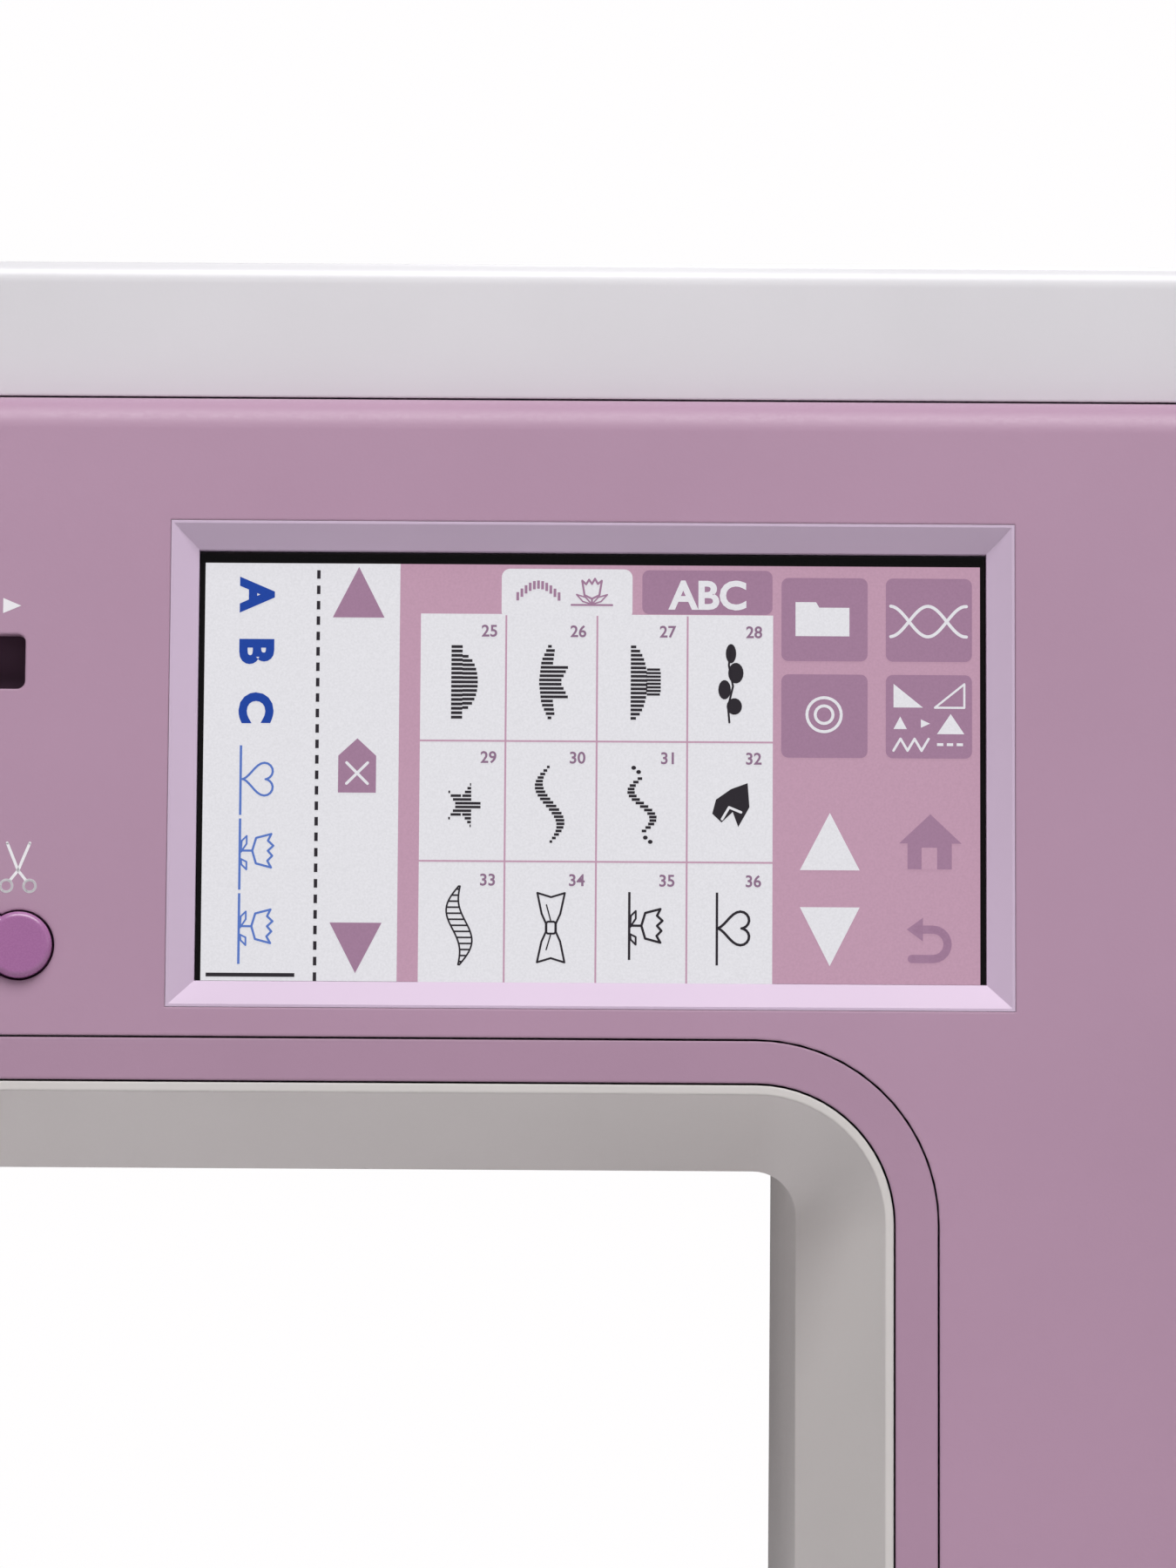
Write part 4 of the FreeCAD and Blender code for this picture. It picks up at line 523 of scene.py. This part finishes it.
def preview_column(ink):
    """Left of the display: the row of stitches as it will be sewn, with its arrows."""
    tops = [DASH_TOP - DASH_PITCH * i for i in range(DASH_COUNT)]
    dashes = [box(-39.4, -38.9, top - DASH_LENGTH, top) for top in tops]
    sewing_place = box(-54.6, -42.0, -29.5, -28.95)
    show("display_seam_line", dashes + [sewing_place], ink["dark"], LINE_LAYER)
    bold = []
    for letter, y in SEWN_LETTERS.items():
        bold += letters(letter, -47.9, y, 5.0, turned=True, bold=0.05)
    show("display_letters", bold, ink["blue"], LINE_LAYER)
    fine = closed(fit(HEART, -49.7, -45.4, -3.6, 1.1), SEWN_LINE)
    for high, low in SEWN_SEAMS:
        fine.append(box(-50.15, -49.8, low, high))
    for top in SEWN_FLOWERS:
        fine += flower(-49.9, top - 6.2, top - 0.8, 3.0, SEWN_LINE)
    show("display_stitches", fine, ink["blue_fine"], LINE_LAYER)
    arrows = [fit(TRIANGLE_UP, -37.1, -29.7, 22.1, 29.4), fit(TRIANGLE_DOWN, -37.1, -29.7, -28.9, -21.7),
              fit(TAG, -36.1, -30.7, -3.1, 4.7)]
    show("display_scroll", arrows, ink["mauve"], LINE_LAYER)
    cross = stroke([(-34.9, -1.8), (-31.9, 1.2)], 0.4) + stroke([(-34.9, 1.2), (-31.9, -1.8)], 0.4)
    show("display_cross", cross, ink["paper"], SIGN_LAYER)


def border_motifs():
    """Top row: satin borders and a vine."""
    dome = hatch(arc(-18.5, 12.9, 2.2, 4.0, -90, 90)) + hatch(box(-20.1, -18.5, 7.5, 18.3))
    leaf = hatch(fit(LEAF, -7.6, -3.2, 7.5, 18.4))
    fan = hatch(arc(5.5, 12.95, 2.4, 5.45, -90, 90)) + hatch(rounded(7.7, 9.8, 11.0, 15.1, 0.6), 0.5)
    vine = stroke([(19.6, 7.3), (19.4, 9.5), (20.1, 12.5), (19.5, 15.5), (19.8, 18.3)], 0.3)
    leaves = ((19.8, 17.2, 0.75, 1.4), (20.5, 14.4, 1.1, 1.5), (18.9, 12.0, 0.9, 1.4), (20.3, 9.6, 1.1, 1.2))
    for x, y, wide, tall in leaves:
        vine.append(arc(x, y, wide, tall, count=18))
    return dome + leaf + fan + vine


def wave_motifs():
    """Middle row: star, two waves and a bell."""
    star = hatch(fit(make_star(5, 0.2), -21.0, -15.1, -8.2, -1.4), 0.56, 0.7)
    wave = hatch(swelling(s_curve(-7.5, -4.4, -10.2, 1.0, 24), 0.15, 0.75), 0.5, 0.75)
    band = hatch(swelling(s_curve(5.6, 8.8, -8.6, -0.6, 24), 0.3, 0.6), 0.5, 0.8)
    beads = [arc(7.2 - side * x, -4.6 + side * y, 0.35, 0.3, count=12)
             for side in (-1, 1) for x, y in ((0.5, 4.7), (1.2, 5.3))]
    bell = [fit(BELL, 17.2, 22.5, -7.7, -1.4)]
    return star + wave + band + beads + bell


def picture_motifs():
    """Bottom row: striped leaf, bow, tulip and heart."""
    leaf = swelling(s_curve(-19.6, -17.8, -27.6, -16.4, 24), 0.1, 1.2)
    shapes = closed(leaf, 0.25) + hatch(leaf, 0.85, 0.3)
    bow = fit(BOW, -7.6, -3.7, -27.2, -17.3)
    shapes += closed(bow, 0.3) + closed(rounded(-6.3, -5.0, -23.1, -21.4, 0.3), 0.3)
    shapes += stroke([(-5.7, -21.2), (-6.3, -19.0)], 0.2) + stroke([(-5.7, -23.3), (-6.3, -25.4)], 0.2)
    shapes += [box(5.3, 5.65, -26.8, -17.1), box(17.75, 18.1, -27.5, -17.1)]
    shapes += flower(5.5, -24.9, -19.5, 3.0, 0.35) + closed(fit(HEART, 18.0, 22.5, -24.6, -19.8), 0.38)
    return shapes


FIRST_STITCH = 25
NUMBER_COLUMNS = (-14.7, -2.0, 10.8, 23.1)
NUMBER_ROWS = (20.3, 2.1, -15.45)


def stitch_grid(ink):
    """Twelve numbered decorative stitches."""
    numbers = []
    for row, y in enumerate(NUMBER_ROWS):
        for column, x in enumerate(NUMBER_COLUMNS):
            stitch = FIRST_STITCH + len(NUMBER_COLUMNS) * row + column
            numbers += letters(str(stitch), x, y, 1.75, bold=0.02)
    show("display_numbers", numbers, ink["plum"], SIGN_LAYER)
    show("display_motifs", border_motifs() + wave_motifs() + picture_motifs(), ink["dark"], SIGN_LAYER)
    band = stroke([(18.6, -6.6), (19.6, -4.9), (21.3, -5.6)], 0.35)
    show("display_bell_band", band, ink["paper"], TOP_LAYER)


def tab_signs():
    """On the open tab: a small arch of stitches and a tulip."""
    arch = []
    for i in range(11):
        x = -10.7 + 0.59 * i
        y = 24.7 + 1.7 * math.sin(math.pi * i / 10)
        arch.append(box(x - 0.2, x + 0.2, y, y + 1.2))
    cup = [(x, y) for y, x in fit(TULIP, 25.0, 27.9, -1.5, 1.3)]
    tulip = closed(cup, 0.3)
    tulip += stroke([(-0.1, 25.0), (-0.1, 24.2)], 0.3) + stroke([(-3.0, 24.1), (2.8, 24.1)], 0.3)
    for side in (-1, 1):
        leaf = [(0.0, 24.2), (side * 1.3, 24.6), (side * 2.2, 25.6), (side * 0.9, 25.2)]
        tulip += moved(closed(leaf, 0.22), -0.1, 0.0)
    return arch + tulip


def ring(x, y, radius, count):
    """Circle drawn as a line."""
    return stroke(arc(x, y, radius, radius, count=count) + [(x + radius, y)], 0.42)


def twisted_strands():
    """Two waves that cross each other."""
    left, length, middle, height = 42.6, 10.8, 22.0, 2.2
    steps = [length * i / 30 for i in range(31)]
    shapes = []
    for side in (-1, 1):
        wave = [(left + x, middle + side * height * math.sin(math.tau * (x - 2.6) / length)) for x in steps]
        shapes += stroke(wave, 0.45)
    return shapes


def mirror_and_stitch_signs():
    """Button for mirrored stitches and patterns: triangles, a zigzag and a broken line."""
    shapes = [[(43.0, 13.0), (43.0, 9.6), (47.2, 9.6)]]
    shapes += stroke([(53.1, 13.0), (53.1, 9.6), (48.9, 9.6), (53.1, 13.0)], 0.3)
    shapes += [fit(TRIANGLE_UP, 43.0, 44.9, 6.5, 8.3), fit(TRIANGLE_UP, 49.2, 53.1, 5.8, 8.7),
               fit(TRIANGLE_RIGHT, 46.9, 48.2, 6.7, 7.9)]
    zigzag = [(43.0 + i, 5.1 if i % 2 else 3.4) for i in range(6)]
    shapes += stroke(zigzag, 0.35)
    shapes += [box(49.2 + 1.4 * i, 50.1 + 1.4 * i, 4.1, 4.5) for i in range(3)]
    return shapes


def tabs_and_buttons(ink):
    """Page tabs over the grid and the buttons on the right."""
    show("display_tab_signs", tab_signs(), ink["mauve"], SIGN_LAYER)
    white = letters("ABC", 16.4, 25.6, 4.3, bold=0.03)
    white.append(fit(FOLDER, 29.0, 36.7, 19.8, 24.7))
    white += twisted_strands()
    white += ring(33.1, 8.5, 2.45, 28) + ring(33.1, 8.5, 1.27, 20)
    white += mirror_and_stitch_signs()
    show("display_button_signs", white, ink["paper"], SIGN_LAYER)
    pages = [fit(TRIANGLE_UP, 29.7, 38.2, -13.8, -5.6), fit(TRIANGLE_DOWN, 29.7, 38.2, -27.5, -19.1)]
    show("display_pages", pages, ink["paper"], LINE_LAYER)
    roof = [(43.8, -9.9), (52.7, -9.9), (48.25, -5.7)]
    house = [roof, box(45.0, 51.3, -13.6, -9.9)]
    bend = arc(48.6, -24.3, 2.1, 2.1, -90, 90, 10)
    back = stroke([(45.6, -26.4)] + bend + [(46.4, -22.2)], 1.18)
    back.append([(44.9, -22.2), (47.2, -20.5), (47.2, -23.9)])
    show("display_home", house + back, ink["mauve"], LINE_LAYER)
    show("display_door", [box(47.0, 49.2, -13.6, -10.5)], ink["rose"], SIGN_LAYER)


def make_display():
    """The picture on the touch screen."""
    ink = {
        "paper": lit("display_white", colour(229, 228, 233)),
        "rose": lit("display_rose", colour(193, 154, 176)),
        "mauve": lit("display_mauve", colour(162, 126, 153)),
        "plum": lit("display_plum", colour(142, 112, 138)),
        "dark": lit("display_dark", colour(48, 44, 50)),
        "blue": lit("display_blue", colour(35, 70, 160)),
        "blue_fine": lit("display_blue_fine", colour(92, 122, 196)),
    }
    display_areas(ink)
    preview_column(ink)
    stitch_grid(ink)
    tabs_and_buttons(ink)


# ---------------------------------------------------------------- printed signs on the panel and keys
PRINT_HEIGHT = 0.03        # prints lie this far above their surface
KEY_PROUD = 1.4            # the keys stand this far out of the panel
KEY_ROW = -26.2            # middle of the row of keys, below the middle of the display
KEY_PLACES = {"cutter": -83.4, "needle": -104.4, "reverse": -125.4, "start": -151.3}
SLOT_ROW = 22.3            # middle of the marks over the speed slot


def scissors():
    """Open scissors, points up."""
    shapes = []
    for side in (-1, 1):
        shapes += stroke([(-side * 1.2, -1.5), (0.0, 0.0), (side * 1.6, 3.9)], 0.42)
        shapes += closed(arc(-side * 1.65, -2.2, 0.85, 0.85, count=18), 0.36)
    return shapes


def make_signs():
    """White signs beside the slot and the cutter key, and on the other keys."""
    white = plastic("printed_white", colour(244, 242, 246), 0.5, grain=3000.0, relief=0.000003, edge=0.00005)
    printed = moved(scissors(), KEY_PLACES["cutter"] + 2.25, KEY_ROW + 10.6)
    printed += moved([fit(TRIANGLE_RIGHT, -1.3, 1.3, -1.1, 1.1)], -82.6, SLOT_ROW)
    printed += moved([[(0.8, -0.5), (0.8, 0.5), (-0.6, 0.0)]], -122.6, SLOT_ROW)
    draw("printed_signs", printed, white, on_panel(PRINT_HEIGHT))
    needle = [fit(TRIANGLE_UP, -1.5, 1.5, 2.7, 4.7), fit(TRIANGLE_DOWN, -1.5, 1.5, -4.7, -2.7),
              box(-0.2, 0.2, -2.0, 2.0)]
    reverse = stroke(arc(0.3, 0.3, 2.4, 2.2, 0, 180, 14) + [(-2.1, -2.3)], 0.5)
    reverse.append([(-3.3, -2.1), (-0.9, -2.1), (-2.1, -4.2)])
    start = [fit(TRIANGLE_RIGHT, -2.8, 0.8, -2.0, 2.0), box(1.4, 2.3, -2.0, 2.0)]
    for shapes, key, slot, body in ((needle, "needle", "needle_position_key", "position_key"),
                                    (reverse, "reverse", "reverse_key", "back_key"),
                                    (start, "start", "start_stop_key", "start_key")):
        placed = moved(shapes, KEY_PLACES[key], KEY_ROW)
        draw(key + "_sign", placed, white, on_panel(KEY_PROUD + PRINT_HEIGHT), body)


# ---------------------------------------------------------------- printed rulers on the bed
BED_TOP = 88.0
NEEDLE_X = -180.0
GUIDE_GAPS = (10, 15, 20, 25)   # seam guide lines, each this far from the needle
MARK_HALF_WIDTH = 0.15
EDGE_MARGIN = 2.0          # guide lines stay this far inside the plate
RULER_STEPS = 40           # the ruler has a mark every 5 mm and a figure, in centimetres, every 20 mm
RULER_PITCH = 5.0
STEPS_PER_FIGURE = 4
RULER_INSET = 4.0
LONG_MARK, SHORT_MARK = 5.0, 2.6
FIGURE_RISE, FIGURE_HEIGHT = 8.0, 3.2


def mark(x, low, high):
    """Thin line across a level surface."""
    return box(x - MARK_HALF_WIDTH, x + MARK_HALF_WIDTH, low, high)


def make_rulers():
    """Seam guide lines on the needle plate and a ruler along the front of the extension table."""
    ink = plastic("printed_grey", colour(92, 90, 96), 0.55, grain=3000.0, relief=0.000002, edge=0.00005)
    level = on_level(BED_TOP + PRINT_HEIGHT)
    low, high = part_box("needle_plate")
    left, right = low[0] / MM + EDGE_MARGIN, high[0] / MM - EDGE_MARGIN
    places = [NEEDLE_X + side * gap for gap in GUIDE_GAPS for side in (-1, 1)]
    lines = [mark(x, 12.0, 30.0) for x in places if left < x < right]
    draw("plate_lines", lines, ink, level)
    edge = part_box("extension_table")[0][1] / MM + RULER_INSET
    marks = []
    for step in range(RULER_STEPS + 1):
        x = NEEDLE_X + RULER_PITCH * step
        with_figure = step % STEPS_PER_FIGURE == 0
        marks.append(mark(x, edge, edge + (LONG_MARK if with_figure else SHORT_MARK)))
        if with_figure:
            centimetres = str(step // 2)
            marks += letters(centimetres, x, edge + FIGURE_RISE, FIGURE_HEIGHT)
    draw("table_ruler", marks, ink, level, "table")


# ---------------------------------------------------------------- studio
STUDIO_WHITE = (1.0, 0.99, 0.995, 1.0)
FILL_STRENGTH = 0.08       # even light from all round
BACKDROP_STRENGTH = 1.0    # how white the air behind the machine looks
CAMERA_PLACE = (0.0028, -1.0, 0.251)
CAMERA_ROLL = 0.35         # degrees
CAMERA_LENS = 152.0
SENSOR_HEIGHT = 36.0


def make_floor():
    """Pale floor under the machine."""
    wide, front, back = 1.6, -1.6, 1.0
    mesh = bpy.data.meshes.new("studio_floor")
    mesh.from_pydata([(-wide, front, 0.0), (wide, front, 0.0), (wide, back, 0.0), (-wide, back, 0.0)], [],
                     [(0, 1, 2, 3)])
    floor = bpy.data.objects.new("studio_floor", mesh)
    bpy.context.collection.objects.link(floor)
    mesh.materials.append(plastic("studio_paper", colour(218, 216, 217), 0.85, grain=300.0, relief=0.00002,
                                  edge=0.001, mottle=0.004))


def add_light(name, place, target, width, height, power):
    """Soft rectangular light that points at its target."""
    light = bpy.data.lights.new(name, "AREA")
    light.shape = "RECTANGLE"
    light.size = width
    light.size_y = height
    light.energy = power
    lamp = bpy.data.objects.new(name, light)
    lamp.location = place
    lamp.rotation_euler = (Vector(target) - Vector(place)).to_track_quat("-Z", "Y").to_euler()
    bpy.context.collection.objects.link(lamp)


def make_studio():
    """World, lights and colour handling."""
    world = bpy.data.worlds.new("studio")
    world.use_nodes = True
    tree, links = world.node_tree.nodes, world.node_tree.links
    fill = tree["Background"]
    fill.inputs["Strength"].default_value = FILL_STRENGTH
    backdrop = tree.new("ShaderNodeBackground")
    backdrop.inputs["Strength"].default_value = BACKDROP_STRENGTH
    ray = tree.new("ShaderNodeLightPath")
    mix = tree.new("ShaderNodeMixShader")
    for background in (fill, backdrop):
        background.inputs["Color"].default_value = STUDIO_WHITE
    links.new(ray.outputs["Is Camera Ray"], mix.inputs["Fac"])
    links.new(fill.outputs["Background"], mix.inputs[1])
    links.new(backdrop.outputs["Background"], mix.inputs[2])
    links.new(mix.outputs["Shader"], tree["World Output"].inputs["Surface"])
    bpy.context.scene.world = world
    bpy.context.scene.view_settings.view_transform = "Standard"
    arm = (0.0, 0.0, 0.25)
    add_light("light_above", (0.1, -0.8, 1.7), arm, 1.4, 0.8, 28.0)
    add_light("light_left", (-1.3, -1.1, 0.6), arm, 0.8, 0.8, 2.2)
    add_light("light_right", (1.4, -1.0, 0.7), arm, 0.8, 0.8, 2.2)
    add_light("light_behind", (0.6, 1.3, 1.3), (0.0, 0.0, 0.2), 1.2, 0.6, 22.0)


def make_camera():
    """Level camera in front of the display."""
    camera = bpy.data.cameras.new("camera")
    camera.sensor_fit = "VERTICAL"
    camera.sensor_height = SENSOR_HEIGHT
    camera.lens = CAMERA_LENS
    camera.clip_start = 0.05
    holder = bpy.data.objects.new("camera", camera)
    level = Matrix.Rotation(math.radians(90.0), 4, "X")
    roll = Matrix.Rotation(math.radians(CAMERA_ROLL), 4, "Z")
    holder.matrix_world = Matrix.Translation(CAMERA_PLACE) @ level @ roll
    bpy.context.collection.objects.link(holder)
    bpy.context.scene.camera = holder


dress_nodes(make_materials())
make_display()
make_signs()
make_rulers()
make_floor()
make_studio()
make_camera()
